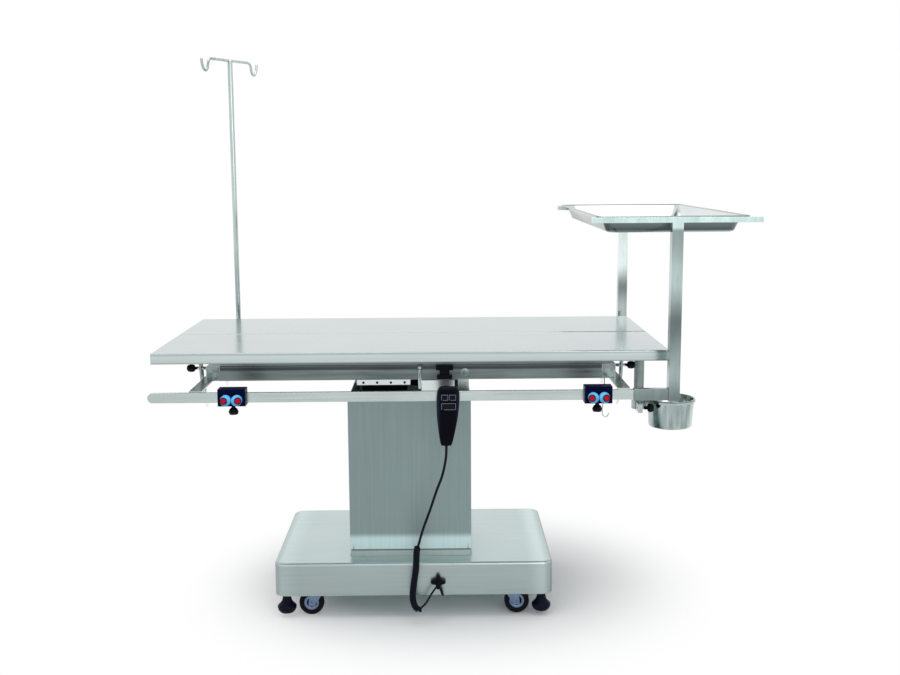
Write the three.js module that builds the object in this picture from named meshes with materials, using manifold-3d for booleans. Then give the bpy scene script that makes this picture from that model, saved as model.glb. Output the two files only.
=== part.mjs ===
// Veterinary operating table: a two-leaf V-top on a tilting frame, an electric lifting column and a wheeled base.
// Millimetres, +Z up. X runs along the table with the tail end at +X, and the handset hangs on the -Y side.
// The dimensions are measured from the middle of the base on the floor. The finished group is then moved so that
// its origin lies on the floor under the middle of the object's outer box.
import * as THREE from 'three';
import { mergeVertices } from 'three/addons/utils/BufferGeometryUtils.js';
import Module from 'manifold-3d';

const wasm = await Module();
wasm.setup();

const { PI, sin, cos, atan2, max, min } = Math;
const degrees = (angle) => angle * PI / 180;

// Clearances: between pieces that seat or slide on each other, and for a screw in the slot that it clamps
const GAP = 0.3;
const SLOT_PLAY = 0.5;

// Table top: two folded sheet leaves that hinge on a rod below the seam
const TOP_LENGTH = 1300;
const TOP_WIDTH = 650;
const TOP_HEIGHT = 738;
const SHEET = 2;
const LIP_DEPTH = 27;
const LIP_HEM = 12;
const LIP_RADIUS = 3;
const SEAM_GAP = 7;
const HINGE_DROP = 8;
const HINGE_ROD_RADIUS = 3;
const HINGE_EYE_RADIUS = 5.5;
const HINGE_EYE_WIDTH = 8;
const HINGE_LUG_WIDTH = 6;
const HINGE_LUG_REACH = 30;
const HINGE_PITCH = 240;
const HINGE_STATIONS = [-2, -1, 0, 1, 2].map((n) => n * HINGE_PITCH);
const STIFFENER_WIDTH = 40;
const STIFFENER_END_GAP = 50;

// Slotted quadrants under the leaf ends, and the knobs that clamp them
const QUADRANT_RADIUS = 212;
const QUADRANT_BAND = 28;
const QUADRANT_THICKNESS = 5;
const QUADRANT_CLEARANCE = 20;
const QUADRANT_END_ANGLE = 46;
const V_ANGLE = 25;
const V_CLAMP_ANGLE = 13.6;
const V_STEM_RADIUS = 4;
const V_COLLAR_RADIUS = 7;
const V_COLLAR_LENGTH = 12;
const V_KNOB_RADIUS = 10;
const V_KNOB_LENGTH = 22;

// Tilting frame: two channels, two end tubes and a spine under the seam
const FRAME_WIDTH = 515;
const BEAM_LENGTH = 980;
const BEAM_HEIGHT = 37;
const BEAM_FLANGE = 25;
const BEAM_WALL = 3;
const BEAM_DROP = 19;
const END_TUBE_WIDTH = 35;
const SPINE_WIDTH = 24;
const SPINE_TAIL_GAP = 4;

// Accessory rails and the angle arms that carry them
const RAIL_HEIGHT = 24;
const RAIL_THICKNESS = 10;
const RAIL_SPACING = 800;
const RAIL_DROP = 14;
const RAIL_HEAD_REACH = 640;
const RAIL_TAIL_REACH = 628;
const ARM_WIDTH = 30;
const ARM_HEIGHT = 25;
const ARM_WALL = 4;
const ARM_OVERHANG = 15;
const WELD = 1;

// Base: folded cover over a chassis plate with two ribs
const BASE_LENGTH = 740;
const BASE_WIDTH = 480;
const BASE_BOTTOM = 68;
const BASE_TOP = 157;
const BASE_CORNER = 40;
const BASE_EDGE_RADIUS = 7;
const BASE_WALL = 2;
const CHASSIS_BOTTOM = 96;
const CHASSIS_PLATE = 8;
const CHASSIS_RIB_INSET = 15;
const CHASSIS_RIB_CLEARANCE = 13.3;

// Swivel casters and levelling feet
const WHEEL_RADIUS = 33.5;
const WHEEL_WIDTH = 26;
const WHEEL_HUB_RADIUS = 21;
const CASTER_END_INSET = 93;
const CASTER_SIDE_INSET = 50;
const CASTER_TRAIL = 20;
const AXLE_RADIUS = 4;
const FORK_WALL = 2.5;
const FORK_CROWN_BOTTOM = 70;
const FORK_CROWN = 4;
const FORK_NECK_RADIUS = 18;
const FOOT_END_INSET = 28;
const FOOT_SIDE_INSET = 34;
const FOOT_RADIUS = 25.5;
const FOOT_LIFT = 12;
const FOOT_PAD = 9;
const FOOT_BELL = 15;
const FOOT_NECK_RADIUS = 10;
const FOOT_NECK = 20;
const STUD_RADIUS = 6;
const STUD_ABOVE_PLATE = 24;

// Lifting column: a fixed inner column, a sliding cover and the lift actuator inside
const COLUMN_X = -8;
const COVER_LENGTH = 326;
const COVER_WIDTH = 368;
const COVER_WALL = 2;
const COVER_BOTTOM = 177;
const COVER_DROP = 151;
const COVER_SLIT = [2, 13];
const COVER_SLIT_INSET = 7;
const COVER_HOLE_RADIUS = 6;
const COVER_HOLE_DROP = 17;
const COVER_HOLE_PITCH = 47;
const INNER_WALL = 3;
const INNER_TOP_GAP = 6;
const LIFT_TUBE_RADIUS = 40;
const LIFT_TUBE_WALL = 6;
const LIFT_TUBE_TOP_GAP = 36;
const LIFT_ROD_BOTTOM = 130;

// Column head with the tilt pivot, and the tilt actuator that lies along X below the frame
const HEAD_PLATE = 8;
const HEAD_DROP = 43;
const PIVOT_RADIUS = 10;
const CHEEK_WIDTH = 30;
const CHEEK_THICKNESS = 8;
const CHEEK_SPACING = 144;
const CRANK_LENGTH = 70;
const CRANK_THICKNESS = 12;
const CRANK_HUB_RADIUS = 17;
const CRANK_END_RADIUS = 13;
const CRANK_PIN_RADIUS = 5;
const CRANK_SLOT_LENGTH = 6;
const FORK_EAR = 6;
const FORK_EAR_PLAY = 0.5;
const FORK_RADIUS = 12;
const TILT_ROD_RADIUS = 7;
const TILT_TUBE_RADIUS = 14;
const TILT_TUBE_TAIL_GAP = 44;
const TILT_TUBE_LENGTH = 110;
const TILT_MOTOR_LENGTH = 125;
const TILT_MOTOR_WIDTH = 62;
const TILT_MOTOR_HEIGHT = 48;

// Rope cleats on the front rail
const CLEAT_X = [-432, 459];
const CLEAT_LENGTH = 67;
const CLEAT_TOP_WALL = 12;
const CLEAT_BOTTOM_WALL = 5;
const CLEAT_FRONT_WALL = 19;
const CLEAT_BACK_WALL = 6;
const CAM_RADIUS = 13;
const CAM_OFFSET = 4;
const CAM_THICKNESS = 11;
const CAM_SPACING = 35;
const CAM_DROP = 26;
const CAM_PIN_RADIUS = 4;
const CAM_HEAD_RADIUS = 6.5;
const CAM_HEAD = 4;
const CLAMP_STEM_RADIUS = 3;
const CLAMP_NECK_RADIUS = 5;
const CLAMP_NECK = 7;
const CLAMP_KNOB_RADIUS = 12.5;
const CLAMP_KNOB = 17;

// Infusion pole in a clamp on the rear rail
const POLE_X = -559;
const POLE_RADIUS = 7.5;
const POLE_BOTTOM = 560;
const POLE_TOP = 1522;
const POLE_OUT = 25;
const POLE_CLAMP_LENGTH = 34;
const POLE_CLAMP_WALL = 8;
const POLE_BAR_HALF = 134;
const POLE_BAR_RADIUS = 4;
const POLE_BAR_ANGLE = 62;
const POLE_HOOK = 16;

// Instrument tray on two stands that sleeve over the tail ends of the rails
const STAND_SLEEVE_HEAD = 547;
const STAND_SLEEVE_WALL = 2.2;
const STAND_POST = 27;
const STAND_POST_X = 645;
const STAND_BAR_LENGTH = 408;
const STAND_BAR_HEIGHT = 13;
const STAND_BAR_TOP = 1073;
const TRAY_X = 638;
const TRAY_RIM_WIDTH = 373;
const TRAY_RIM_LENGTH = 800;
const TRAY_TOP_WIDTH = 338;
const TRAY_BOTTOM_WIDTH = 310;
const TRAY_DEPTH = 40;
const TRAY_WALL = 1.5;
const TRAY_CORNER = 28;
const TRAY_END_GAP = 2;

// Drain bucket in a ring bracket on a post under the tail end of the spine
const BUCKET_POST_X = 632;
const BUCKET_POST_RADIUS = 14;
const BUCKET_POST_BOTTOM = 517;
const BUCKET_X = 722;
const BUCKET_RADIUS = 65;
const BUCKET_BOTTOM_RADIUS = 59;
const BUCKET_LIP = 2.5;
const BUCKET_RIM_HEIGHT = 549;
const BUCKET_DEPTH = 85;
const BUCKET_WALL = 1.5;
const RING_HEIGHT = 6;
const RING_WIDTH = 3.5;
const COLLAR_WALL = 6;
const COLLAR_HEIGHT = 24;
const COLLAR_DROP = 29;
const COLLAR_EAR = 12;
const COLLAR_SCREW_Y = 54;
const BUCKET_KNOB_RADIUS = 12;
const BUCKET_KNOB_LENGTH = 15;

// Handset on the front rail: height, width and depth of its sections from the bottom up
const HANDSET_X = 94;
const HANDSET_DROP = 121;
const HANDSET_SECTIONS = [[0, 24, 14], [6, 29, 18], [40, 42, 24], [80, 53, 27], [120, 56, 28],
  [138, 52, 26], [146, 44, 20]];
const HANDSET_BACK_GAP = 0.4;
const HOOK_WIDTH = 20;
const HOOK_WALL = 4;
const HOOK_DROP = 13;
const ROCKER_WIDTH = 38;
const ROCKER_HEIGHT = 17;
const ROCKER_THICKNESS = 4;
const ROCKER_PROUD = 1.5;
const ROCKER_TRAVEL = 2.2;
const ROCKER_HEIGHTS = [123, 100];

// Handset cord: socket on the base front, lower lead, curly stretch and upper lead
const CORD_RADIUS = 2.75;
const COIL_RADIUS = 9;
const SOCKET_X = 65;
const SOCKET_Z = 108;
const SOCKET_FLANGE = 14;
const SOCKET_LOBE = 15;
const SOCKET_LOBE_DEPTH = 5;
const SOCKET_BOSS = 12;
const SOCKET_BOSS_RADIUS = 7;
const LOWER_LEAD = [[65, -266.6, 108], [64.8, -272.5, 107.8], [57, -277, 100], [46, -279, 84],
  [35, -280, 65], [26, -280, 54.1],
  [20.1, -280, 49.1]];
const COIL_PATH = [[19.8, -280, 48.8], [13, -280.5, 44], [6, -281.5, 49], [0, -284, 66], [-2, -286, 84],
  [1, -290, 115],
  [7.5, -300, 162], [10.9, -311.5, 218], [14, -315, 229]];
const UPPER_LEAD = [[14.1, -315.2, 229.4], [16.9, -318.4, 239.4], [21.5, -324.5, 258], [30, -336, 288], [46, -356, 338],
  [63, -376, 394], [78, -394, 440], [89, -408, 485], [93.5, -412, 507], [94, -412.4, 519.6]];

// Places that follow from the dimensions above
const HINGE_Z = TOP_HEIGHT - HINGE_DROP;
const LIP_BOTTOM = TOP_HEIGHT - LIP_DEPTH;
const BEAM_TOP = LIP_BOTTOM - BEAM_DROP;
const BEAM_BOTTOM = BEAM_TOP - BEAM_HEIGHT;
const FRAME_Y = FRAME_WIDTH / 2;
const BEAM_END = BEAM_LENGTH / 2;
const END_TUBE_OUT = BEAM_END + GAP + END_TUBE_WIDTH;
const QUADRANT_X = END_TUBE_OUT + QUADRANT_CLEARANCE;
const RAIL_Y = RAIL_SPACING / 2;
const RAIL_Z = BEAM_BOTTOM - RAIL_DROP;
const RAIL_TOP = RAIL_Z + RAIL_HEIGHT / 2;
const RAIL_BOTTOM = RAIL_Z - RAIL_HEIGHT / 2;
const RAIL_FACE = RAIL_Y + RAIL_THICKNESS / 2;
const PIVOT_X = COLUMN_X + COVER_LENGTH / 2 - COVER_WALL - GAP - CHEEK_WIDTH / 2;
const PIVOT_Z = BEAM_TOP - BEAM_HEIGHT / 2;
const CRANK_PIN_Z = PIVOT_Z - CRANK_LENGTH;
const COVER_TOP = TOP_HEIGHT - COVER_DROP;
const HEAD_TOP = COVER_TOP - HEAD_DROP;
const INNER_TOP = HEAD_TOP - HEAD_PLATE - INNER_TOP_GAP;
const LIFT_TUBE_TOP = HEAD_TOP - HEAD_PLATE - LIFT_TUBE_TOP_GAP;
const WHEEL_X = BASE_LENGTH / 2 - CASTER_END_INSET;
const WHEEL_Y = BASE_WIDTH / 2 - CASTER_SIDE_INSET;
const FOOT_X = BASE_LENGTH / 2 - FOOT_END_INSET;
const FOOT_Y = BASE_WIDTH / 2 - FOOT_SIDE_INSET;
const HANDSET_BOTTOM = RAIL_Z - HANDSET_DROP;
const POLE_Y = RAIL_FACE + POLE_OUT;
const COLLAR_BOTTOM = BUCKET_RIM_HEIGHT - COLLAR_DROP;

// Finishes
const steel = (shade, roughness) => new THREE.MeshStandardMaterial({ color: shade, metalness: 1,
  roughness });
const plastic = (shade, roughness) => new THREE.MeshStandardMaterial({ color: shade, metalness: 0,
  roughness });
const BRUSHED = steel(0xc8d0cf, 0.32);
const SATIN = steel(0xb6c2c1, 0.4);
const POLISHED = steel(0xd6dcdb, 0.15);
const ZINC = steel(0x9aa8b4, 0.35);
const BLACK = plastic(0x141518, 0.55);
const TYRE = plastic(0x1a1a1c, 0.8);
const NAVY = plastic(0x0c1240, 0.45);
const BLUE = plastic(0x3c9cf0, 0.35);
const HANDSET_SHELL = plastic(0x14161f, 0.5);

// A copy that holds shared positions only, without collapsed triangles, with its faces pointing out
function outward(geometry) {
  const bare = geometry.clone();
  bare.deleteAttribute('normal');
  bare.deleteAttribute('uv');
  const merged = mergeVertices(bare, 1e-4);
  const place = merged.attributes.position;
  const corners = merged.index.array;
  const a = new THREE.Vector3();
  const b = new THREE.Vector3();
  const c = new THREE.Vector3();
  const kept = [];
  let volume = 0;
  for (let i = 0; i < corners.length; i += 3) {
    const [p, q, r] = corners.slice(i, i + 3);
    if (p === q || q === r || r === p) continue;
    kept.push(p, q, r);
    a.fromBufferAttribute(place, p);
    b.fromBufferAttribute(place, q);
    c.fromBufferAttribute(place, r);
    volume += a.dot(b.cross(c));
  }
  if (volume < 0) kept.reverse();
  merged.setIndex(kept);
  return merged;
}

function toSolid(geometry) {
  const closed = outward(geometry);
  const vertProperties = new Float32Array(closed.attributes.position.array);
  const triVerts = new Uint32Array(closed.index.array);
  return new wasm.Manifold(new wasm.Mesh({ numProp: 3, vertProperties, triVerts }));
}

function toGeometry(solid) {
  const mesh = solid.getMesh();
  const geometry = new THREE.BufferGeometry();
  geometry.setAttribute('position', new THREE.BufferAttribute(mesh.vertProperties, 3));
  geometry.setIndex(new THREE.BufferAttribute(mesh.triVerts, 1));
  return geometry;
}

const join = (...parts) => toGeometry(parts.map(toSolid).reduce((whole, part) => whole.add(part)));
const cut = (whole, ...parts) => toGeometry(parts.map(toSolid).reduce((rest, part) => rest.subtract(part),
  toSolid(whole)));

// A block between two corners
function block([x0, y0, z0], [x1, y1, z1]) {
  const geometry = new THREE.BoxGeometry(x1 - x0, y1 - y0, z1 - z0);
  return geometry.translate((x0 + x1) / 2, (y0 + y1) / 2, (z0 + z1) / 2);
}

// An outline carried along one axis: outlines lie in (Y, Z) along X, in (X, Z) along Y, in (X, Y) along Z
function prism(axis, outline, from, to, curveSegments = 8) {
  const geometry = new THREE.ExtrudeGeometry(outline,
    { depth: to - from, bevelEnabled: false, curveSegments });
  if (axis === 'z') return geometry.translate(0, 0, from);
  if (axis === 'x') {
    const turn = new THREE.Matrix4(0, 0, 1, from, 1, 0, 0, 0, 0, 1, 0, 0, 0, 0, 0, 1);
    return geometry.applyMatrix4(turn);
  }
  const turn = new THREE.Matrix4(1, 0, 0, 0, 0, 0, -1, to, 0, 1, 0, 0, 0, 0, 0, 1);
  return geometry.applyMatrix4(turn);
}

// A profile of (radius, height) points turned about one axis, the heights running along that axis
function turned(axis, profile, sides = 14) {
  const geometry = new THREE.LatheGeometry(profile.map(([r, h]) => new THREE.Vector2(r, h)), sides);
  if (axis === 'y') return geometry;
  geometry.rotateX(PI / 2);
  return axis === 'z' ? geometry : geometry.rotateY(PI / 2);
}

// A plain round bar between two heights along one axis
const bar = (axis, radius, from, to, sides = 14) =>
  turned(axis, [[0, from], [radius, from], [radius, to], [0, to]], sides);

const outlineOf = (points) => new THREE.Shape(points.map(([u, v]) => new THREE.Vector2(u, v)));

// A rectangle between two corners, its points running the same way round whichever corner comes first
function rectangle(u0, v0, u1, v1) {
  const left = min(u0, u1);
  const right = max(u0, u1);
  return outlineOf([[left, v0], [right, v0], [right, v1], [left, v1]]);
}

function circle(u, v, radius) {
  const outline = new THREE.Shape();
  outline.absarc(u, v, radius, 0, 2 * PI, false);
  return outline;
}

function withHole(outline, hole) {
  outline.holes.push(hole);
  return outline;
}

// A ring of points round a rectangle with round corners, at one height
function roundedRing(width, depth, radius, z, [x, y] = [0, 0], steps = 5) {
  const points = [];
  const corners = [[1, 1, 0], [-1, 1, 1], [-1, -1, 2], [1, -1, 3]];
  for (const [sx, sy, quarter] of corners) {
    for (let i = 0; i <= steps; i++) {
      const angle = (quarter + i / steps) * PI / 2;
      const px = sx * (width / 2 - radius) + radius * cos(angle);
      const py = sy * (depth / 2 - radius) + radius * sin(angle);
      points.push(new THREE.Vector3(x + px, y + py, z));
    }
  }
  return points;
}

// A closed skin through level rings of equal count, capped at the first and the last ring
function loft(rings) {
  const count = rings[0].length;
  const positions = rings.flat().flatMap((point) => point.toArray());
  const index = [];
  for (let k = 0; k + 1 < rings.length; k++) {
    for (let i = 0; i < count; i++) {
      const j = (i + 1) % count;
      const low = k * count;
      const high = low + count;
      index.push(low + i, low + j, high + j, low + i, high + j, high + i);
    }
  }
  const cap = (ring) => THREE.ShapeUtils.triangulateShape(ring.map((p) => new THREE.Vector2(p.x, p.y)), []);
  const last = (rings.length - 1) * count;
  for (const [a, b, c] of cap(rings[0])) index.push(a, c, b);
  for (const [a, b, c] of cap(rings.at(-1))) index.push(last + a, last + b, last + c);
  const geometry = new THREE.BufferGeometry();
  geometry.setAttribute('position', new THREE.Float32BufferAttribute(positions, 3));
  geometry.setIndex(index);
  return geometry;
}

// A round tube along a smooth curve through points
function cordAlong(points, radius, sides, steps) {
  const extrudePath = new THREE.CatmullRomCurve3(points.map((p) => new THREE.Vector3(...p)), false,
    'centripetal');
  const outline = new THREE.Shape();
  outline.absarc(0, 0, radius, 0, 2 * PI, false);
  return new THREE.ExtrudeGeometry(outline, { steps, bevelEnabled: false, extrudePath,
    curveSegments: sides });
}

const table = new THREE.Group();

function piece(name, geometry, material, place = [0, 0, 0], turn = 0) {
  const mesh = new THREE.Mesh(outward(geometry), material);
  mesh.name = name;
  mesh.position.set(...place);
  mesh.rotation.z = turn;
  table.add(mesh);
}

// Base cover: a folded tray turned upside down, cut out on top for the column
function baseCover() {
  const rim = (inset, z) => roundedRing(BASE_LENGTH - 2 * inset, BASE_WIDTH - 2 * inset,
    BASE_CORNER - inset, z);
  const edge = [];
  for (let i = 0; i <= 3; i++) {
    const angle = (i / 3) * PI / 2;
    edge.push(rim(BASE_EDGE_RADIUS * (1 - cos(angle)), BASE_TOP - BASE_EDGE_RADIUS * (1 - sin(angle))));
  }
  const shell = loft([rim(BASE_WALL, BASE_TOP - BASE_WALL), rim(BASE_WALL, BASE_BOTTOM),
    rim(0, BASE_BOTTOM), ...edge]);
  const halfLength = COVER_LENGTH / 2 - COVER_WALL;
  const halfWidth = COVER_WIDTH / 2 - COVER_WALL;
  const opening = block([COLUMN_X - halfLength, -halfWidth, BASE_TOP - BASE_EDGE_RADIUS],
    [COLUMN_X + halfLength, halfWidth, BASE_TOP + BASE_EDGE_RADIUS]);
  return cut(shell, opening);
}

// Chassis: a plate that fills the cover's foot, two ribs that carry the cover, and the holes of the four studs
function chassis() {
  const inset = BASE_WALL + GAP;
  const plateTop = CHASSIS_BOTTOM + CHASSIS_PLATE;
  const ribTop = BASE_TOP - BASE_WALL - GAP;
  const outline = (z) => roundedRing(BASE_LENGTH - 2 * inset, BASE_WIDTH - 2 * inset, BASE_CORNER - inset,
    z);
  const ribLength = FOOT_X - FOOT_RADIUS;
  const near = insideWidth / 2 + CHASSIS_RIB_CLEARANCE;
  const far = BASE_WIDTH / 2 - CHASSIS_RIB_INSET;
  const ribs = [[-far, -near], [near, far]].map(([low, high]) =>
    block([-ribLength, low, plateTop - WELD], [ribLength, high, ribTop]));
  const holes = footPlaces().map(([x, y]) => bar('z', STUD_RADIUS + GAP, CHASSIS_BOTTOM - WELD, ribTop,
    12).translate(x, y, 0));
  return cut(join(loft([outline(CHASSIS_BOTTOM), outline(plateTop)]), ...ribs), ...holes);
}

function cornerPlaces(x, y) {
  return [['front_left', -x, -y], ['front_right', x, -y], ['rear_left', -x, y], ['rear_right', x, y]];
}

function footPlaces() {
  return cornerPlaces(FOOT_X, FOOT_Y).map(([, x, y]) => [x, y]);
}

// Levelling foot: a bell-shaped pad on a threaded stud
function levellingFoot() {
  const neckBottom = FOOT_LIFT + FOOT_PAD + FOOT_BELL;
  const studTop = CHASSIS_BOTTOM + CHASSIS_PLATE + STUD_ABOVE_PLATE;
  return turned('z', [[0, FOOT_LIFT], [FOOT_RADIUS, FOOT_LIFT], [FOOT_RADIUS, FOOT_LIFT + FOOT_PAD / 2],
    [FOOT_RADIUS - 3, FOOT_LIFT + FOOT_PAD], [FOOT_NECK_RADIUS + 3, neckBottom - 3], [FOOT_NECK_RADIUS,
      neckBottom],
    [FOOT_NECK_RADIUS, neckBottom + FOOT_NECK], [STUD_RADIUS, neckBottom + FOOT_NECK], [STUD_RADIUS,
      studTop], [0, studTop]], 16);
}

// Caster fork: bearing neck, crown, two legs and the axle. Its origin is the swivel axis, the wheel trails along +X
function casterFork() {
  const half = WHEEL_WIDTH / 2 + 1;
  const crownTop = FORK_CROWN_BOTTOM + FORK_CROWN;
  const neck = bar('z', FORK_NECK_RADIUS, crownTop - WELD, CHASSIS_BOTTOM - GAP);
  const crown = block([-FORK_NECK_RADIUS, -half - FORK_WALL, FORK_CROWN_BOTTOM],
    [CASTER_TRAIL + AXLE_RADIUS, half + FORK_WALL, crownTop]);
  const footEnd = WHEEL_RADIUS - 2 * AXLE_RADIUS;
  const leg = outlineOf([[-FORK_NECK_RADIUS, crownTop - WELD], [CASTER_TRAIL - 2 * AXLE_RADIUS, footEnd],
    [CASTER_TRAIL + 2 * AXLE_RADIUS, footEnd], [CASTER_TRAIL + AXLE_RADIUS, crownTop - WELD]]);
  const legs = [prism('y', leg, -half - FORK_WALL, -half), prism('y', leg, half, half + FORK_WALL)];
  const axleEnd = half + FORK_WALL + AXLE_RADIUS / 2;
  const axle = bar('y', AXLE_RADIUS, -axleEnd, axleEnd, 12).translate(CASTER_TRAIL, 0, WHEEL_RADIUS);
  return join(neck, crown, ...legs, axle);
}

// Caster wheel: a tyre with rounded shoulders on a dished hub with a bore
function casterWheel() {
  const half = WHEEL_WIDTH / 2;
  const shoulder = WHEEL_RADIUS - 4;
  const bore = AXLE_RADIUS + GAP;
  const dish = half - 4;
  const side = [[bore, half], [AXLE_RADIUS * 2, half], [AXLE_RADIUS * 2 + 2, dish],
    [WHEEL_HUB_RADIUS, dish],
    [WHEEL_HUB_RADIUS + 2, half - 1], [shoulder, half - 1], [WHEEL_RADIUS, half - 5]];
  const other = side.map(([r, h]) => [r, -h]).reverse();
  return turned('y', [...side, ...other, side[0]], 20);
}

// A square sleeve with an open top and bottom
function boxTube(x, length, width, wall, bottom, top) {
  const outer = rectangle(x - length / 2, -width / 2, x + length / 2, width / 2);
  const inner = rectangle(x - length / 2 + wall, -width / 2 + wall, x + length / 2 - wall,
    width / 2 - wall);
  return prism('z', withHole(outer, inner), bottom, top);
}

const insideLength = COVER_LENGTH - 2 * (COVER_WALL + GAP);
const insideWidth = COVER_WIDTH - 2 * (COVER_WALL + GAP);

const innerColumn = () => boxTube(COLUMN_X, insideLength, insideWidth, INNER_WALL,
  CHASSIS_BOTTOM + CHASSIS_PLATE + GAP, INNER_TOP);

// Column cover: slits where its foot is folded, and a row of cable holes high in its rear wall
function columnCover() {
  const tube = boxTube(COLUMN_X, COVER_LENGTH, COVER_WIDTH, COVER_WALL, COVER_BOTTOM, COVER_TOP);
  const [slitWidth, slitHeight] = COVER_SLIT;
  const slitX = COVER_LENGTH / 2 - COVER_SLIT_INSET - slitWidth;
  const slits = [-slitX, slitX].map((x) => block([COLUMN_X + x - slitWidth / 2, -COVER_WIDTH,
    COVER_BOTTOM - WELD],
    [COLUMN_X + x + slitWidth / 2, COVER_WIDTH, COVER_BOTTOM + slitHeight]));
  const holes = [-3, -2, -1, 0].map((n) => bar('y', COVER_HOLE_RADIUS, 0, COVER_WIDTH, 10)
    .translate(COLUMN_X + n * COVER_HOLE_PITCH, 0, COVER_TOP - COVER_HOLE_DROP));
  return cut(tube, ...slits, ...holes);
}

// Lift actuator: a tube with a closed foot on the chassis, and the rod that carries the column head
function liftTube() {
  const bottom = CHASSIS_BOTTOM + CHASSIS_PLATE + GAP;
  const bore = LIFT_TUBE_RADIUS - LIFT_TUBE_WALL;
  return turned('z', [[0, bottom], [LIFT_TUBE_RADIUS, bottom], [LIFT_TUBE_RADIUS, LIFT_TUBE_TOP],
    [bore, LIFT_TUBE_TOP],
    [bore, bottom + LIFT_TUBE_WALL], [0, bottom + LIFT_TUBE_WALL]]);
}

const liftRod = () => bar('z', LIFT_TUBE_RADIUS - LIFT_TUBE_WALL - GAP, LIFT_ROD_BOTTOM,
  HEAD_TOP - HEAD_PLATE - GAP);

// Column head: a plate inside the cover with two cheeks that carry the tilt pivot
function columnHead() {
  const plate = block([COLUMN_X - insideLength / 2, -insideWidth / 2, HEAD_TOP - HEAD_PLATE],
    [COLUMN_X + insideLength / 2, insideWidth / 2, HEAD_TOP]);
  const cheek = outlineOf([[PIVOT_X - CHEEK_WIDTH / 2, HEAD_TOP - WELD],
    [PIVOT_X + CHEEK_WIDTH / 2, HEAD_TOP - WELD],
    [PIVOT_X + CHEEK_WIDTH / 2, PIVOT_Z]]);
  cheek.absarc(PIVOT_X, PIVOT_Z, CHEEK_WIDTH / 2, 0, PI, false);
  const half = CHEEK_SPACING / 2;
  const cheeks = [-half, half].map((y) => prism('y', cheek, y - CHEEK_THICKNESS / 2,
    y + CHEEK_THICKNESS / 2));
  const bore = bar('y', PIVOT_RADIUS + GAP, -CHEEK_SPACING, CHEEK_SPACING, 16).translate(PIVOT_X, 0,
    PIVOT_Z);
  const saddle = block([tiltMotorHead, -TILT_MOTOR_WIDTH / 2, HEAD_TOP - WELD],
    [tiltMotorHead + TILT_MOTOR_LENGTH, TILT_MOTOR_WIDTH / 2, CRANK_PIN_Z - TILT_MOTOR_HEIGHT / 2 - GAP]);
  return cut(join(plate, ...cheeks, saddle), bore);
}

// Tilt actuator: a motor housing with a tube along X, and the rod with a forked end and its cross pin
const tiltTubeTail = PIVOT_X - TILT_TUBE_TAIL_GAP;
const tiltMotorHead = tiltTubeTail - TILT_TUBE_LENGTH - TILT_MOTOR_LENGTH;

function tiltMotor() {
  const half = TILT_MOTOR_WIDTH / 2;
  const z = TILT_MOTOR_HEIGHT / 2;
  const chamfer = z / 2;
  const section = outlineOf([[-half, -z], [half, -z], [half, z - chamfer], [half - chamfer, z],
    [chamfer - half, z], [-half, z - chamfer]]);
  const housing = prism('x', section, tiltMotorHead, tiltMotorHead + TILT_MOTOR_LENGTH);
  const tube = bar('x', TILT_TUBE_RADIUS, tiltMotorHead + TILT_MOTOR_LENGTH - WELD, tiltTubeTail);
  const bore = bar('x', TILT_ROD_RADIUS + GAP, tiltTubeTail - TILT_TUBE_LENGTH, tiltTubeTail + WELD, 16);
  return cut(join(housing, tube), bore).translate(0, 0, CRANK_PIN_Z);
}

function tiltRod() {
  const inner = CRANK_THICKNESS / 2 + FORK_EAR_PLAY;
  const outer = inner + FORK_EAR;
  const heel = CRANK_END_RADIUS + 4;
  const rod = bar('x', TILT_ROD_RADIUS, tiltTubeTail - TILT_TUBE_LENGTH / 2, PIVOT_X - heel, 16);
  const side = outlineOf([[PIVOT_X, FORK_RADIUS], [PIVOT_X - heel - FORK_EAR, FORK_RADIUS],
    [PIVOT_X - heel - FORK_EAR, -FORK_RADIUS], [PIVOT_X, -FORK_RADIUS]]);
  side.absarc(PIVOT_X, 0, FORK_RADIUS, -PI / 2, PI / 2, false);
  const fork = cut(prism('y', side, -outer, outer), block([PIVOT_X - heel, -inner, -2 * FORK_RADIUS],
    [PIVOT_X + 2 * FORK_RADIUS, inner, 2 * FORK_RADIUS]));
  const pin = bar('y', CRANK_PIN_RADIUS, -outer + WELD, outer - WELD, 16).translate(PIVOT_X, 0, 0);
  return join(rod, fork, pin).translate(0, 0, CRANK_PIN_Z);
}

// Tilt shaft through both channels, with the slotted crank that the actuator pushes
function tiltShaft() {
  const shaft = bar('y', PIVOT_RADIUS, -FRAME_Y, FRAME_Y, 16).translate(PIVOT_X, 0, PIVOT_Z);
  const crank = new THREE.Shape();
  crank.absarc(PIVOT_X, PIVOT_Z, CRANK_HUB_RADIUS, 0, PI, false);
  crank.absarc(PIVOT_X, CRANK_PIN_Z, CRANK_END_RADIUS, PI, 2 * PI, false);
  const slot = new THREE.Path();
  const slotRadius = CRANK_PIN_RADIUS + SLOT_PLAY;
  slot.absarc(PIVOT_X, CRANK_PIN_Z + CRANK_SLOT_LENGTH / 2, slotRadius, 0, PI, false);
  slot.absarc(PIVOT_X, CRANK_PIN_Z - CRANK_SLOT_LENGTH / 2, slotRadius, PI, 2 * PI, false);
  crank.holes.push(slot);
  return join(shaft, prism('y', crank, -CRANK_THICKNESS / 2, CRANK_THICKNESS / 2));
}

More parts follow.
